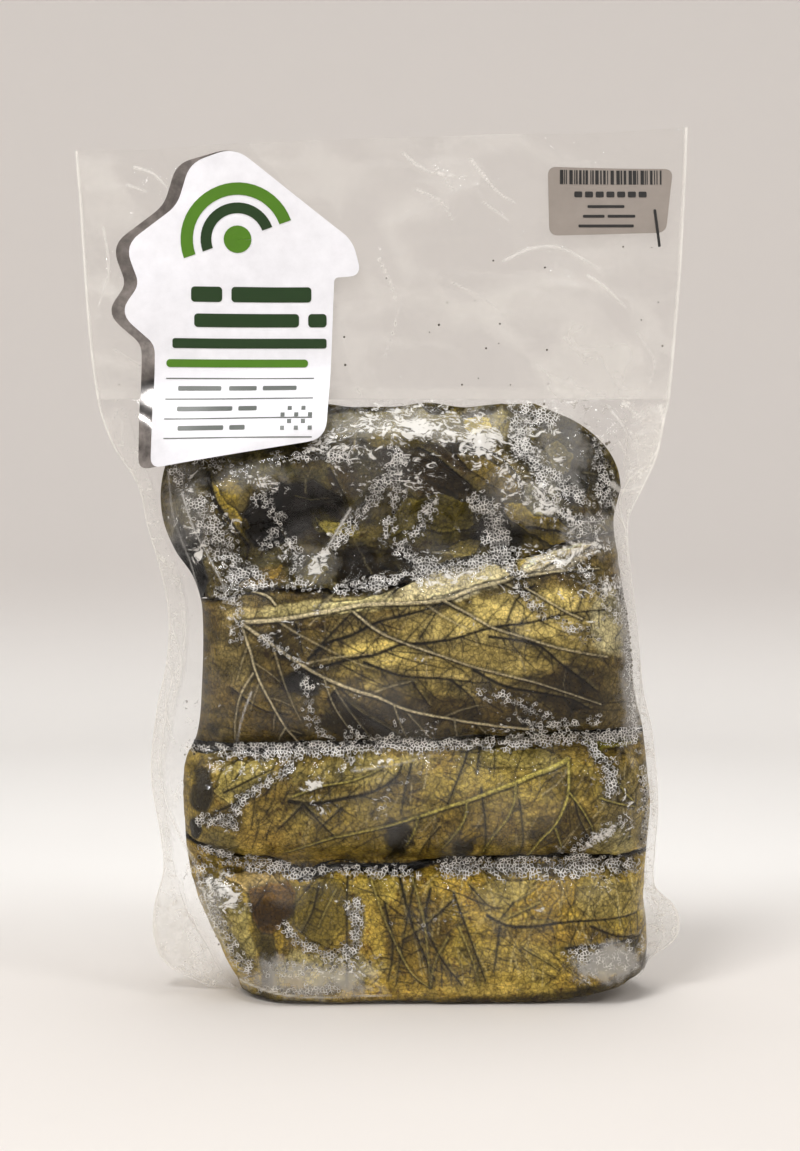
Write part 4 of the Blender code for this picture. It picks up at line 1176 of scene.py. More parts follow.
def filmPlaces(rowCount, columnCount, low, high):
    # where the film's corners lie, seen from the front, between two levels
    level = np.linspace(low, high, rowCount)[:, None]
    share = np.linspace(0, 1, columnCount)[None, :]
    above = np.maximum(0, level - bag["sealHeight"]) / (bag["mouthLeft"] - bag["sealHeight"])
    z = level + above * (bag["mouthRight"] - bag["mouthLeft"]) * share
    left, right = filmEdges(z)
    filledLeft, filledRight = filledEdges(z)
    wing = film["wingShare"]
    inner = np.clip((share - wing) / (1 - 2 * wing), 0, 1)
    inner = inner - 0.05 * np.sin(2 * math.pi * inner)
    x = filledLeft + (filledRight - filledLeft) * inner
    x = np.where(share < wing, left + (filledLeft - left) * share / wing, x)
    x = np.where(share > 1 - wing, right + (filledRight - right) * (1 - share) / wing, x)
    lift = baseLine(x) * np.clip(1 - level / bag["cornerFade"], 0, 1) ** 2
    return x, z + lift, share + 0 * z


def filmRelief(canvas, seed, pouch):
    # crushed and drawn tight over the rolls, long and loose in the header
    draw = np.random.default_rng(seed)
    x, v = canvas["x"], canvas["v"]
    z = v % 1000
    if pouch:
        canvas["lift"] += 0.5 * (ridges(x, v, 8.0, seed + 1) - 0.5)
        canvas["lift"] += 0.12 * clouds(x, v, 2.6, seed + 2, octaves=2)
        canvas["lift"] += 0.55 * crush(x, z)
    else:
        canvas["lift"] += 0.5 * clouds(x, v, 30.0, seed + 5, octaves=3)
        canvas["lift"] += 0.35 * ridges(x, v, 21.0, seed + 8)
    for _ in range(film["crinkles"] if pouch else film["crinkles"] // 5):
        place = np.array([draw.uniform(-88, 92), draw.uniform(v.min(), v.max())])
        angle = draw.uniform(0, math.pi)
        reach = draw.uniform(3, 15) if pouch else draw.uniform(10, 40)
        ahead = reach * np.array([math.cos(angle), math.sin(angle)])
        bow = 0.12 * reach * draw.uniform(-1, 1) * np.array([-math.sin(angle), math.cos(angle)])
        stroke(canvas, [place, place + ahead / 2 + bow, place + ahead], draw.uniform(0.6, 2.0), None, 1,
               draw.uniform(-1, 1) * film["crinkleHeight"], 0.5)
    box = film["labelBox"]
    inside = np.minimum(np.minimum(x - box[0], box[2] - x), np.minimum(v - box[1], box[3] - v))
    held = smoothStep(-2, 2, inside)
    canvas["lift"] *= 1 - 0.85 * held
    canvas["lift"][:] = np.clip(canvas["lift"], -1.2, 0.6)


def filmMilkAndHighlights(canvas, share, back, pouch):
    # how milky the film is, with painted highlights and glints among it: side seams, air pockets, the
    # crushed net over the bent roll, painted highlights on creases and in the header
    x, v = canvas["x"], canvas["v"]
    z = v % 1000
    milkAndHighlight = (0.0 if pouch else 0.02) + 0.05 * smoothStep(0.0, 0.6, clouds(x, v, 20.0, 15))
    crushAndGlint = np.zeros(x.shape)
    fromEdge = np.minimum(share, 1 - share)
    wing = smoothStep(film["wingShare"] + 0.005, film["wingShare"] - 0.01, fromEdge)
    if pouch:
        streaky = ridges(x * 2.4, v * 0.6, 12.0, 33)
        nearSeal = smoothStep(bag["sealHeight"], bag["sealHeight"] - 12, z)
        milkAndHighlight = milkAndHighlight + wing * nearSeal * (0.1 + 0.22 * smoothStep(0.4, 0.8, streaky))
        # the net, the shreds over the bent roll and the flecks all over are partly whitened crushed film
        # and partly painted glints
        crushAndGlint = 0.55 * coverOf(x, v, netBands, 0.3)
        crushAndGlint = np.maximum(crushAndGlint, wing * nearSeal * (0.3 + 0.2 * streaky))
        above = smoothStep(4, 16, z - cleftHeight("high", x))
        crushAndGlint = np.maximum(crushAndGlint, above * 0.42 * smoothStep(0.0, 0.4, clouds(x, v, 14.0, 54)))
        crushAndGlint = np.maximum(crushAndGlint, 0.34 * smoothStep(0.1, 0.5, clouds(x, v, 11.0, 78)))
        if not back:
            grain = clouds(x + 0.5 * z, z * 0.8, 3.4, 91, octaves=4, keep=0.8)
            for cx, cz, wide, high, strength in hazePatches:
                away = np.hypot((x - cx) / wide, (z - cz) / high)
                away = away + 0.5 * clouds(x, z, 9.0, int(abs(cz)) + 5) + 0.7 * grain
                milkAndHighlight = np.maximum(milkAndHighlight, strength * smoothStep(1.3, 0.6, away) * (0.75 + 0.25 * streaky))
            for cx, cz, wide, high, turn, strength in milkAndGlareSpots:
                c, s = math.cos(math.radians(turn)), math.sin(math.radians(turn))
                px, pz = x - cx, z - cz
                away = np.hypot((px * c + pz * s) / wide, (pz * c - px * s) / high)
                away = away + 0.4 * clouds(x, z, 5.5, int(abs(cx)) + 19, octaves=4, keep=0.65)
                crushAndGlint = np.maximum(crushAndGlint, 1.15 * strength * smoothStep(1.25, 0.5, away))
    else:
        # painted highlights in the header: a pale patch to the right and broad bright clouds
        haze = np.hypot((x - 70) / 22, (z - 206) / 14) + 0.5 * clouds(x, z, 12.0, 61)
        milkAndHighlight = milkAndHighlight + 0.16 * smoothStep(1.1, 0.5, haze)
        milkAndHighlight = milkAndHighlight + 0.2 * smoothStep(0.3, 0.8, ridges(x + 0.5 * z, v * 1.4, 34.0, 64))
        milkAndHighlight = milkAndHighlight + 0.14 * smoothStep(bag["sealHeight"] + 5, bag["sealHeight"] + 2, z)
    edge = smoothStep(0.006, 0.002, fromEdge)
    marks = paintedCreaseHighlights if pouch else paintedHeaderHighlights
    # painted highlights along creases, put into the film's milkiness; each crease is also raised a little
    if not back:
        for width, strength, points in marks:
            stroke(canvas, softLine(points), width, (1, 1, 1), strength, 0.2, 0.7, soft=0.4)
    return np.clip(np.maximum(milkAndHighlight, canvas["tint"][..., 0]) + 0.5 * edge, 0, 1), np.clip(crushAndGlint, 0, 1)


def filmSheet(name, low, high, rows, columns, back, seed):
    thing, row, column, rowCount, columnCount = gridPiece(name, columns, rows)
    x, z, share = filmPlaces(rowCount, columnCount, low, high)
    y = backFilm(x, z) if back else frontFilm(x, z)
    v = z + (1000 if back else 0)
    pouch = low < 1
    canvas = plainCanvas(x, v)
    filmRelief(canvas, seed, pouch)
    milkAndHighlight, crushAndGlint = filmMilkAndHighlights(canvas, share, back, pouch)
    edge = smoothStep(0, 0.03, np.minimum(share, 1 - share))  # the two layers meet at the side seams
    y = y + (1 if back else -1) * canvas["lift"] * (0.3 + 0.7 * edge)
    moveGrid(thing, row, column, x, y, np.maximum(z, 0.02))
    storeValue(thing, "milkAndHighlight", milkAndHighlight[row, column])
    storeValue(thing, "crushAndGlint", crushAndGlint[row, column])
    foamy = foamCover(x, v) if pouch else np.zeros(x.shape)
    storeValue(thing, "foam", foamy[row, column])
    if (thing.data.polygons[0].normal.y > 0) != back:
        thing.data.flip_normals()
    smoothShade(thing)
    return thing


def maximum(material, first, second):
    return addNode(material, "ShaderNodeMath", {"operation": "MAXIMUM", "use_clamp": True},
                   {0: first, 1: second}).outputs["Value"]


def frothWhite(made, place, wrinkle):
    # foam of brine under the film: pale walls between dark bubbles about a millimetre across, as
    # many as the mesh's foam value asks for; flat across and up, since it lies in the film
    foamy = addNode(made, "ShaderNodeAttribute", {"attribute_name": "foam"})
    size = {"voronoi_dimensions": "2D", "Scale": 1 / (film["bubble"] * mm)}
    seen = addNode(made, "ShaderNodeMapping", {"Rotation": (-math.pi / 2, 0, 0)},
                   {"Vector": place.outputs["Object"]})
    walls = addNode(made, "ShaderNodeTexVoronoi", {"feature": "DISTANCE_TO_EDGE", **size},
                    {"Vector": seen.outputs["Vector"]})
    wall = addNode(made, "ShaderNodeMapRange",
                   {"From Min": 0.06, "From Max": 0.25, "To Min": 0.82, "To Max": 0.1},
                   {"Value": walls.outputs["Distance"]})
    cell = addNode(made, "ShaderNodeTexVoronoi", size, {"Vector": seen.outputs["Vector"]})
    chance = addNode(made, "ShaderNodeSeparateColor", {}, {0: cell.outputs["Color"]})
    fewer = addNode(made, "ShaderNodeMath", {"operation": "SUBTRACT"},
                    {0: foamy.outputs["Fac"], 1: chance.outputs[0]})
    there = addNode(made, "ShaderNodeMapRange", {"From Max": 0.15}, {"Value": fewer.outputs["Value"]})
    froth = addNode(made, "ShaderNodeMath", {"operation": "MULTIPLY"},
                    {0: there.outputs["Result"], 1: wall.outputs["Result"]})
    shades = addNode(made, "ShaderNodeMapRange", {"From Min": 0.35, "From Max": 0.6, "To Min": 0.3},
                     {"Value": wrinkle.outputs["Fac"]})
    return addNode(made, "ShaderNodeMath", {"operation": "MULTIPLY"},
                   {0: froth.outputs["Value"], 1: shades.outputs["Result"]}).outputs["Value"]


def shredAndGlintWhite(made, place):
    # crushed film and painted glints: bright shreds with clear gaps, denser where the mesh's crush and
    # glint value is higher
    crushAndGlint = addNode(made, "ShaderNodeAttribute", {"attribute_name": "crushAndGlint"})
    turned = addNode(made, "ShaderNodeMapping", {"Rotation": (0, 0.35, 0), "Scale": (1, 1, 1.4)},
                     {"Vector": place.outputs["Object"]})
    blots = addNode(made, "ShaderNodeTexNoise", {"Scale": 1 / (film["shred"] * mm), "Detail": 3.0,
                                                 "Roughness": 0.68, "Distortion": 1.5},
                    {"Vector": turned.outputs["Vector"]})
    raised = addNode(made, "ShaderNodeMath", {"operation": "MULTIPLY_ADD", 1: 0.5},
                     {0: crushAndGlint.outputs["Fac"], 2: blots.outputs["Fac"]})
    return addNode(made, "ShaderNodeMapRange", {"From Min": 0.74, "From Max": 0.86, "To Max": 0.74},
                   {"Value": raised.outputs["Value"]}).outputs["Result"]


def filmMaterial(name, foaming, crushed):
    # polyamide and polyethylene vacuum film: clear and glossy, milky where it is crushed or holds foam,
    # and white where highlights and glints are painted
    made = newMaterial(name)
    place = addNode(made, "ShaderNodeTexCoord")
    wrinkle = addNode(made, "ShaderNodeTexNoise", {"Scale": 1 / (film["wrinkle"] * mm), "Detail": 2.0,
                                                   "Roughness": 0.6, "Distortion": 1.4},
                      {"Vector": place.outputs["Object"]})
    bump = addNode(made, "ShaderNodeBump", {"Strength": 0.6, "Distance": 0.6 * mm},
                   {"Height": wrinkle.outputs["Fac"]})
    white = addNode(made, "ShaderNodeAttribute", {"attribute_name": "milkAndHighlight"}).outputs["Fac"]
    if crushed:
        white = maximum(made, shredAndGlintWhite(made, place), white)
    if foaming:
        white = maximum(made, frothWhite(made, place, wrinkle), white)
    # a thin film shines the same from both sides, so its gloss follows the plain facing angle
    facing = addNode(made, "ShaderNodeLayerWeight", {"Blend": 0.5}, {"Normal": bump.outputs["Normal"]})
    steep = addNode(made, "ShaderNodeMath", {"operation": "POWER", 1: 5.0}, {0: facing.outputs["Facing"]})
    shine = addNode(made, "ShaderNodeMath",
                    {"operation": "MULTIPLY_ADD", 1: film["glossMore"], 2: film["glossLeast"]},
                    {0: steep.outputs["Value"]})
    clear = addNode(made, "ShaderNodeBsdfTransparent", {"Color": (0.98, 0.978, 0.975, 1)})
    gloss = addNode(made, "ShaderNodeBsdfGlossy", {"Color": (1, 1, 1, 1), "Roughness": 0.07},
                    {"Normal": bump.outputs["Normal"]})
    cloudy = addNode(made, "ShaderNodeBsdfPrincipled",
                     {"Base Color": (*hexColour("#edeae4"), 1), "Roughness": 0.3})
    layer = addNode(made, "ShaderNodeMixShader", {}, {0: shine.outputs["Value"], 1: clear.outputs["BSDF"],
                                                      2: gloss.outputs["BSDF"]})
    whole = addNode(made, "ShaderNodeMixShader", {}, {0: white, 1: layer.outputs["Shader"],
                                                      2: cloudy.outputs["BSDF"]})
    addNode(made, "ShaderNodeOutputMaterial", {}, {"Surface": whole.outputs["Shader"]})
    return made


foamyFilm = filmMaterial("vacuum film over foam", True, True)
crushedFilm = filmMaterial("crushed vacuum film", False, True)
clearFilm = filmMaterial("clear vacuum film", False, False)
seal, mouth = bag["sealHeight"], bag["mouthLeft"]
# name, from height, to height, rows, columns, at the back or not, seed, material
sheets = (
    ("film_front", 0.0, seal, film["rowsPouch"], film["columns"], False, 7, foamyFilm),
    ("film_header_front", seal, mouth, film["rowsHeader"], film["columns"], False, 8, clearFilm),
    ("film_back", 0.0, seal, film["backSquares"], film["backSquares"], True, 9, crushedFilm),
    ("film_header_back", seal, mouth, film["backRowsHeader"], film["backSquares"], True, 10, clearFilm),
)
for sheetName, low, high, rows, columns, back, seed, material in sheets:
    sheet = filmSheet(sheetName, low, high, rows, columns, back, seed)
    sheet.data.materials.append(material)
    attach(sheet, "root")
    if sheetName == "film_front":
        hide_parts("sealed_bag")
print("film done")


def foamBubbleMaterial():
    # foam of brine: wet bubble walls shine at their rims, and the dark leaf shows through the middle
    made = newMaterial("brine foam bubble")
    facing = addNode(made, "ShaderNodeLayerWeight", {"Blend": 0.35})
    rim = addNode(made, "ShaderNodeMapRange", {"From Min": 0.34, "From Max": 0.8, "To Max": 0.75},
                  {"Value": facing.outputs["Facing"]})
    clear = addNode(made, "ShaderNodeBsdfTransparent", {"Color": (0.6, 0.58, 0.54, 1)})
    wall = addNode(made, "ShaderNodeBsdfPrincipled",
                   {"Base Color": (*hexColour("#dedbd3"), 1), "Roughness": 0.15})
    both = addNode(made, "ShaderNodeMixShader", {}, {0: rim.outputs["Result"], 1: clear.outputs["BSDF"],
                                                     2: wall.outputs["BSDF"]})
    addNode(made, "ShaderNodeOutputMaterial", {}, {"Surface": both.outputs["Shader"]})
    return made


def bubbles(name, places, material):
    # each bubble is a small closed lens: a dome of two rings with a blunt back
    sides = foam["sides"]
    around = np.arange(sides) * 2 * math.pi / sides
    shape = [(0, -1.0, 0)]
    for ring, out in ((0.62, -0.78), (1.0, -0.1)):
        shape += [(ring * math.cos(a), out, ring * math.sin(a)) for a in around]
    shape.append((0, 0.35, 0))
    shape = np.array(shape)
    faces = []
    for k in range(sides):
        n = (k + 1) % sides
        faces += [(0, 1 + k, 1 + n), (1 + k, 1 + sides + k, 1 + sides + n, 1 + n),
                  (1 + sides + k, 1 + 2 * sides, 1 + sides + n)]
    verts = np.concatenate([shape * r + np.array((x, y, z)) for x, y, z, r in places])
    verts = (verts + np.array((shiftX, shiftY, 0))) * mm
    every = [tuple(i + len(shape) * k for i in face) for k in range(len(places)) for face in faces]
    thing = meshPiece(name, verts, every, material)
    smoothShade(thing)
    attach(thing, "root")


def bandPlaces(bands, draw):
    # bubbles keep clear of each other: a place too near a kept one is dropped
    kept, cells = [], {}
    for width, density, points in bands:
        line = softLine(points)
        run = np.concatenate([[0], np.cumsum(np.hypot(*np.diff(line, axis=0).T))])
        for _ in range(int(run[-1] * width * density * foam["crowd"])):
            at = draw.uniform(0, run[-1])
            off, angle = abs(draw.normal(0, 0.3)) * width, draw.uniform(0, 2 * math.pi)
            x = np.interp(at, run, line[:, 0]) + off * math.cos(angle)
            z = np.interp(at, run, line[:, 1]) + off * math.sin(angle)
            radius = draw.uniform(*foam["radius"]) * draw.uniform(0.7, 1.1)
            key = (int(x // 2), int(z // 2))
            beside = [(key[0] + i, key[1] + j) for i in (-1, 0, 1) for j in (-1, 0, 1)]
            near = [p for cell in beside for p in cells.get(cell, ())]
            if any((x - p[0]) ** 2 + (z - p[1]) ** 2 < (0.86 * (radius + p[2])) ** 2 for p in near):
                continue
            cells.setdefault(key, []).append((x, z, radius))
            kept.append((x, z, radius))
    return np.array(kept)


foamBubble = foamBubbleMaterial()
spots = bandPlaces(foamBands, np.random.default_rng(foam["seed"]))
left, right = filledEdges(spots[:, 1])
spots = spots[(spots[:, 0] > left + 1) & (spots[:, 0] < right - 1)]
depth = frontFilm(spots[:, 0], spots[:, 1]) + 0.4 + 0.6 * spots[:, 2]
depth += np.maximum(0, -0.6 * crush(spots[:, 0], spots[:, 1]))
bubbles("foam_front", np.stack([spots[:, 0], depth, spots[:, 1], spots[:, 2]], axis=1), foamBubble)
print("foam done", len(spots))


# Labels
label = {
    "outline": (
        (-81.5, 170.5, 4), (-20.5, 180.0, 6), (-18.5, 233.5, 1.5), (-9.5, 234.0, 4.5),
        (-12.5, 245.5, 4), (-51.0, 276.0, 6), (-70.0, 271.0, 5), (-74.0, 257.0, 4),
        (-91.0, 244.0, 6), (-86.0, 231.0, 3), (-92.5, 221.5, 6), (-81.0, 211.5, 3),
    ),
    "foilMargin": 4.3,
    "leftCorners": (0, 6, 7, 8, 9, 10, 11),  # the corners whose print stops short of the cut
    "cell": 2.0,
    "bridgeAcross": 10,  # paper is stiffer than film, so it bridges hollows up to twice this wide
    "bridgeUp": 7,
    "paperHeight": 0.5,  # of each layer over the film, as are the next two
    "whiteHeight": 0.62,
    "inkHeight": 0.78,
    "paperThick": 0.15,
    "whiteThick": 0.06,
    "inkThick": 0.04,
    "emblem": (-50, 246),
    "rules": (200.5, 193.6, 187.0, 180.6),
    "smallWords": ((-62, 197.2, 14), (-48, 197.2, 9), (-36, 197.2, 11), (-60, 190.3, 18), (-46, 190.3, 6),
                   (-61, 183.9, 15), (-49, 183.9, 5)),
}


def rounded(outline, steps=6):
    points = []
    for i, (x, z, radius) in enumerate(outline):
        here = np.array((x, z))
        before = np.array(outline[i - 1][:2]) - here
        after = np.array(outline[(i + 1) % len(outline)][:2]) - here
        start = here + before / np.linalg.norm(before) * min(radius, np.linalg.norm(before) * 0.45)
        end = here + after / np.linalg.norm(after) * min(radius, np.linalg.norm(after) * 0.45)
        for k in range(steps + 1):
            t = k / steps
            points.append((1 - t) ** 2 * start + 2 * t * (1 - t) * here + t**2 * end)
    return points


def slide(table, span, axis, pick):
    # the lowest or the mean value within this span of each place
    ends = [(span, span) if k == axis else (0, 0) for k in (0, 1)]
    padded = np.pad(table, ends, mode="edge")
    shifts = range(2 * span + 1)
    return pick([np.take(padded, range(k, k + table.shape[axis]), axis) for k in shifts], axis=0)


labelX, labelZ = np.meshgrid(np.arange(-100, 100.5, 1.0), np.arange(160, 284, 1.0))
labelY = frontFilm(labelX, labelZ)
stiff = labelY
for axis, span in ((1, label["bridgeAcross"]), (0, label["bridgeUp"])):
    stiff = slide(slide(stiff, span, axis, np.min), span, axis, np.mean)
labelY = np.minimum(stiff, labelY)


def labelDepth(x, z):
    gx = np.clip(x - labelX[0, 0], 0, labelX.shape[1] - 1.001)
    gz = np.clip(z - labelZ[0, 0], 0, labelZ.shape[0] - 1.001)
    ix, iz = gx.astype(int), gz.astype(int)
    fx, fz = gx - ix, gz - iz
    low = labelY[iz, ix] * (1 - fx) + labelY[iz, ix + 1] * fx
    high = labelY[iz + 1, ix] * (1 - fx) + labelY[iz + 1, ix + 1] * fx
    return low * (1 - fz) + high * fz


def flatShape(name, outlines, material, height, thickness):
    # flat outlines cut into cells, laid on the label's curve and given a thickness
    mesh = bpy.data.meshes.new(name)
    thing = bpy.data.objects.new(name, mesh)
    bpy.context.scene.collection.objects.link(thing)
    verts, faces = [], []
    for outline in outlines:
        faces.append(tuple(range(len(verts), len(verts) + len(outline))))
        verts += [(p[0], 0.0, p[1]) for p in outline]
    mesh.from_pydata(verts, [], faces)
    bpy.ops.object.select_all(action="DESELECT")
    thing.select_set(True)
    bpy.context.view_layer.objects.active = thing
    corners = np.array(verts)
    bpy.ops.object.mode_set(mode="EDIT")
    step = label["cell"]  # all the layers are cut along the same lines, so that they stay parallel
    for axis in (0, 2):
        normal = [0, 0, 0]
        normal[axis] = 1
        first, last = corners[:, axis].min() / step, corners[:, axis].max() / step
        for k in range(math.ceil(first), math.ceil(last)):
            spot = [0, 0, 0]
            spot[axis] = k * step
            bpy.ops.mesh.select_all(action="SELECT")
            bpy.ops.mesh.bisect(plane_co=spot, plane_no=normal)
    bpy.ops.object.mode_set(mode="OBJECT")
    flat = np.empty(len(mesh.vertices) * 3)
    mesh.vertices.foreach_get("co", flat)
    places = flat.reshape(-1, 3)
    places[:, 1] = labelDepth(places[:, 0], places[:, 2]) - height
    places = (places + np.array((shiftX, shiftY, 0))) * mm
    mesh.vertices.foreach_set("co", places.ravel())
    mesh.update()
    mesh.materials.append(material)
    solid = thing.modifiers.new("thickness", "SOLIDIFY")
    solid.thickness = thickness * mm
    solid.offset = 0
    bpy.ops.object.modifier_apply(modifier=solid.name)
    outward(thing, 1e-7)
    bpy.ops.object.select_all(action="DESELECT")
    thing.select_set(True)
    bpy.ops.object.shade_smooth_by_angle(angle=math.radians(40))
    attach(thing, "root")
    return thing


def printMaterial(name, colour, roughness, metallic=0.0, mottle=0.06):
    # paper, ink or foil: one even colour with the slight unevenness of print
    made = newMaterial(name)
    place = addNode(made, "ShaderNodeTexCoord")
    grain = addNode(made, "ShaderNodeTexNoise", {"Scale": 1 / (7 * mm), "Detail": 6.0, "Roughness": 0.65},
                    {"Vector": place.outputs["Object"]})
    tone = addNode(made, "ShaderNodeMapRange",
                   {"From Min": 0.3, "From Max": 0.7, "To Min": 1 - mottle, "To Max": 1 + mottle},
                   {"Value": grain.outputs["Fac"]})
    tint = addNode(made, "ShaderNodeVectorMath", {"operation": "SCALE", 0: hexColour(colour)},
                   {"Scale": tone.outputs["Result"]})
    bump = addNode(made, "ShaderNodeBump", {"Strength": 0.12, "Distance": 0.3 * mm},
                   {"Height": grain.outputs["Fac"]})
    shader = addNode(made, "ShaderNodeBsdfPrincipled", {"Roughness": roughness, "Metallic": metallic},
                     {"Base Color": tint.outputs["Vector"], "Normal": bump.outputs["Normal"]})
    addNode(made, "ShaderNodeOutputMaterial", {}, {"Surface": shader.outputs["BSDF"]})
    return made


foil = printMaterial("mirror foil paper", "#a09c9a", 0.14, 1.0, 0.6)  # bare silver where the print stops
whiteInk = printMaterial("white coated label", "#e9e9ee", 0.38)
greenInk = printMaterial("leaf green ink", "#4b7a12", 0.3)
darkInk = printMaterial("dark green ink", "#17350f", 0.3)
greyInk = printMaterial("grey ink", "#5d625d", 0.4)
thermalPaper = printMaterial("thermal paper", "#938a82", 0.5)
blackInk = printMaterial("thermal black", "#1d1b1a", 0.5)


def bar(x, z, wide, high, corner=0.0, lean=0.0):
    # a bar by its middle, with rounded ends where asked
    half, tall = wide / 2, high / 2
    if corner <= 0:
        points = [(-half, -tall), (half, -tall), (half, tall), (-half, tall)]
    else:
        points = []
        inX, inZ = half - corner, tall - corner
        for cx, cz, start in ((inX, inZ, 0), (-inX, inZ, 90), (-inX, -inZ, 180), (inX, -inZ, 270)):
            turns = [math.radians(start + 15 * k) for k in range(7)]
            points += [(cx + corner * math.cos(a), cz + corner * math.sin(a)) for a in turns]
    c, s = math.cos(math.radians(lean)), math.sin(math.radians(lean))
    return [(x + px * c - pz * s, z + px * s + pz * c) for px, pz in points]


def ringPart(x, z, inner, outer, start, end, steps=24):
    # part of a flat ring
    turns = [math.radians(start + (end - start) * k / steps) for k in range(steps + 1)]
    points = [(x + outer * math.cos(a), z + outer * math.sin(a)) for a in turns]
    return points + [(x + inner * math.cos(a), z + inner * math.sin(a)) for a in reversed(turns)]


paperHeight, paperThick = label["paperHeight"], label["paperThick"]
inkHeight, inkThick = label["inkHeight"], label["inkThick"]
base = flatShape("label_foil", [rounded(label["outline"])], foil, paperHeight, paperThick)
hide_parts("gable_label")
printed = [
    (x + (label["foilMargin"] if i in label["leftCorners"] else 0), z + (0.4 if i == 0 else 0), r)
    for i, (x, z, r) in enumerate(label["outline"])
]
flatShape("label_white", [rounded(printed)], whiteInk, label["whiteHeight"],
          label["whiteThick"])
greenShapes = [
    ringPart(*label["emblem"], 14.5, 18.5, 20, 200),
    ringPart(*label["emblem"], 0.01, 4.5, 0, 359),
    bar(-50, 205.5, 46, 2.6, 1.2),
]
darkShapes = [
    ringPart(*label["emblem"], 8.5, 12.0, 20, 200),
    bar(-39, 228, 26, 5, 1.2), bar(-60, 228, 10, 5, 1.2),
    bar(-47, 219.5, 34, 4.4, 1.2), bar(-24, 219.5, 6, 4.4, 1.2),
    bar(-46, 212, 50, 3.2, 0.8),
]
greyShapes = [bar(-49, z, 48, 0.35) for z in label["rules"]]
greyShapes += [bar(x, z, wide, 1.5, 0.4) for x, z, wide in label["smallWords"]]
for i in range(5):  # a small block of squares, every other one printed
    greyShapes += [bar(-34.5 + 2.2 * i, 183.6 + 2.2 * j, 1.3, 1.3) for j in range(4) if (i + j) % 2 == 0]
flatShape("label_green_print", greenShapes, greenInk, inkHeight, inkThick)
flatShape("label_dark_print", darkShapes, darkInk, inkHeight, inkThick)
flatShape("label_grey_print", greyShapes, greyInk, inkHeight, inkThick)

sticker = {
    "outline": ((51.5, 247.0, 3), (89.5, 248.0, 3), (92.0, 269.0, 3), (51.0, 269.5, 3)),
    "inkHeight": 0.68,
    "penHeight": 0.74,
    "barsFrom": 55.0,
    "barsTo": 88.0,
    "barsMiddle": 266.2,
    "barTall": 4.6,
    "barWidths": (0.3, 0.5, 0.8, 1.1),
    "barGaps": (0.3, 0.5, 0.8),
    "rowPlaces": (-10.5, -7, -3.5, 0, 3.5, 7, 10.5),
    "smallWords": ((70, 256.6, 12), (66, 253.4, 7), (75, 253.4, 9), (70, 250.2, 18)),
    "seed": 3,
}
stickerBase = flatShape("sticker_paper", [rounded(sticker["outline"])], thermalPaper, paperHeight,
                        paperThick)
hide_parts("code_sticker")
draw = np.random.default_rng(sticker["seed"])
bars, at = [], sticker["barsFrom"]
while at < sticker["barsTo"]:
    wide = draw.choice(sticker["barWidths"])
    bars.append(bar(at + wide / 2, sticker["barsMiddle"], wide, sticker["barTall"]))
    at += wide + draw.choice(sticker["barGaps"])
bars += [bar(71.5 + aside, 260.6, 2.6, 1.9, 0.4) for aside in sticker["rowPlaces"]]
bars += [bar(x, z, wide, 0.9, 0.3) for x, z, wide in sticker["smallWords"]]
flatShape("sticker_bars", bars, blackInk, sticker["inkHeight"], inkThick)
penStroke = bar(86.6, 249.5, 0.9, 12.4, 0.3, 7)
flatShape("pen_stroke", [penStroke], blackInk, sticker["penHeight"], inkThick)
print("labels done")


# Specks of leaf dust caught between the header's layers
specks = {
    "count": 34,
    "across": (-92, 90),
    "up": (198, 262),
    "radius": (0.18, 0.42),
    "seed": 21,
}
speck = printMaterial("leaf dust", "#3b3020", 0.6)
draw = np.random.default_rng(specks["seed"])
ranges = [specks[key] for key in ("across", "up", "radius")]
dust = [[draw.uniform(*span) for span in ranges] for _ in range(specks["count"])]
dust = np.array([(x, middlePlane(x, z) - 0.5, z, r) for x, z, r in dust])
bubbles("leaf_dust", dust, speck)


# Floor, wall, lights and camera
stage = {
    "floor": "#e4dfda",
    "farFloorPaintedLight": "#faf8f5",
    "wall": "#dcd7d3",
    "floorRadius": 0.75,  # in metres, as are the next four
    "bend": 0.4,
    "height": 0.45,
    "climb": 0.13,
    "paler": 0.24,  # from here behind the bag the floor has its paler far colour, painted light that makes up for the lamps' falloff
    "room": "#f3eeea",
    "roomStrength": 0.16,
}
# name, place, what it aims at, size, watts
lights = (
    ("keyLight", (-0.35, -0.55, 1.05), (0, 0, 0.12), (0.3, 0.3), 7),
    ("overhead", (0.05, 0.2, 1.3), (0, 0.15, 0), (0.8, 0.6), 6.2),
    ("rightFill", (0.75, -0.55, 0.85), (0, 0, 0.14), (0.2, 0.4), 2.6),
    ("glintLeft", (-0.55, -0.7, 0.6), (0, 0, 0.12), (0.05, 0.05), 0.45),
    ("glintRight", (0.25, -0.75, 0.85), (0, 0, 0.12), (0.05, 0.05), 0.45),
)


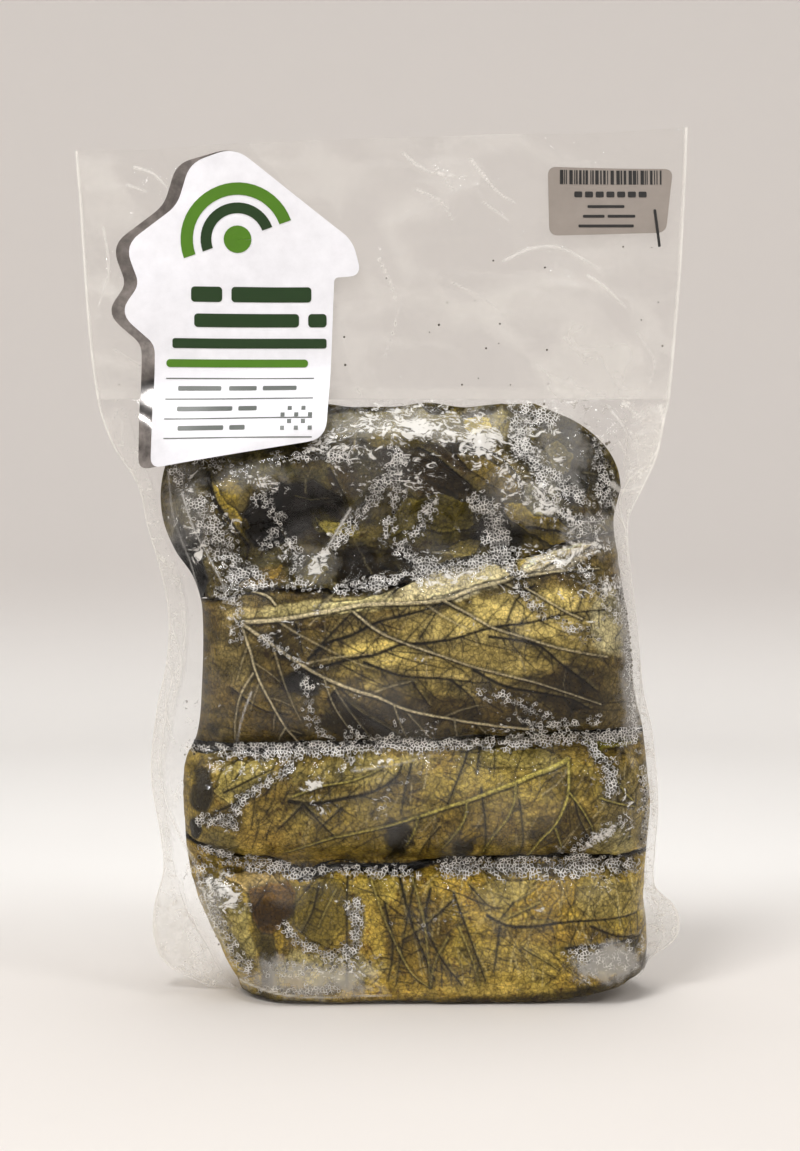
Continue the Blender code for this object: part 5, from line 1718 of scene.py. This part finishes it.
def studio():
    # a round floor that curves up into a wall on every side
    bpy.ops.object.select_all(action="DESELECT")
    bpy.ops.mesh.primitive_grid_add(x_subdivisions=96, y_subdivisions=60, size=1, calc_uvs=False)
    sweep = bpy.context.active_object
    sweep.name = "studio_sweep"
    arc = stage["bend"] * math.pi / 2
    total = stage["floorRadius"] + arc + stage["height"]
    for v in sweep.data.vertices:
        s, angle = (v.co.y + 0.5) * total, v.co.x * 2 * math.pi
        bent = min(max(s - stage["floorRadius"], 0), arc) / stage["bend"]
        reach = min(s, stage["floorRadius"]) + stage["bend"] * math.sin(bent)
        rise = stage["bend"] * (1 - math.cos(bent)) + max(s - stage["floorRadius"] - arc, 0)
        v.co = (reach * math.sin(angle), reach * math.cos(angle), rise)
    outward(sweep)
    smoothShade(sweep)
    paper = newMaterial("matt backdrop paper")
    place = addNode(paper, "ShaderNodeTexCoord")
    apart = addNode(paper, "ShaderNodeSeparateXYZ", {}, {0: place.outputs["Object"]})
    # painted light: the floor is paler behind the bag, where less lamp light reaches
    away = addNode(paper, "ShaderNodeMapRange",
                   {"From Max": stage["paler"], "interpolation_type": "SMOOTHSTEP"},
                   {"Value": apart.outputs["Y"]})
    ground = addNode(paper, "ShaderNodeMix", {"data_type": "RGBA", 6: (*hexColour(stage["floor"]), 1),
                                              7: (*hexColour(stage["farFloorPaintedLight"]), 1)},
                     {0: away.outputs["Result"]})
    climb = addNode(paper, "ShaderNodeMapRange",
                    {"From Max": stage["climb"], "interpolation_type": "SMOOTHSTEP"},
                    {"Value": apart.outputs["Z"]})
    tint = addNode(paper, "ShaderNodeMix", {"data_type": "RGBA", 7: (*hexColour(stage["wall"]), 1)},
                   {0: climb.outputs["Result"], 6: ground.outputs[2]})
    shader = addNode(paper, "ShaderNodeBsdfPrincipled", {"Roughness": 0.85, "Specular IOR Level": 0.2},
                     {"Base Color": tint.outputs[2]})
    addNode(paper, "ShaderNodeOutputMaterial", {}, {"Surface": shader.outputs["BSDF"]})
    sweep.data.materials.append(paper)


def softbox(name, place, aim, size, power):
    light = bpy.data.lights.new(name, "AREA")
    light.shape = "RECTANGLE"
    light.size, light.size_y = size
    light.energy = power
    thing = bpy.data.objects.new(name, light)
    bpy.context.scene.collection.objects.link(thing)
    thing.location = place
    direction = np.array(aim) - np.array(place)
    pitch = math.atan2(math.hypot(direction[0], direction[1]), -direction[2])
    thing.rotation_euler = (pitch, 0, math.atan2(-direction[0], direction[1]))


studio()
for softLight in lights:
    softbox(*softLight)
world = bpy.data.worlds.new("soft room")
world.use_nodes = True
background = world.node_tree.nodes["Background"]
background.inputs["Color"].default_value = (*hexColour(stage["room"]), 1)
background.inputs["Strength"].default_value = stage["roomStrength"]
bpy.context.scene.world = world

camera = bpy.data.cameras.new("camera")
camera.sensor_fit = "VERTICAL"
camera.sensor_height = 36.0
camera.lens = 36.0 * view["focalPixels"] / view["high"]
camera.shift_x = (view["wide"] / 2 - view["middleColumn"]) / view["high"]
camera.shift_y = 0.0
cameraObject = bpy.data.objects.new("camera", camera)
bpy.context.scene.collection.objects.link(cameraObject)
tilt = math.atan((view["high"] / 2 - view["horizonRow"]) / view["focalPixels"])
cameraObject.location = (shiftX * mm, (-view["distance"] + shiftY) * mm, view["height"] * mm)
cameraObject.rotation_euler = (math.pi / 2 - tilt, 0, 0)
bpy.context.scene.camera = cameraObject
print("stage done")
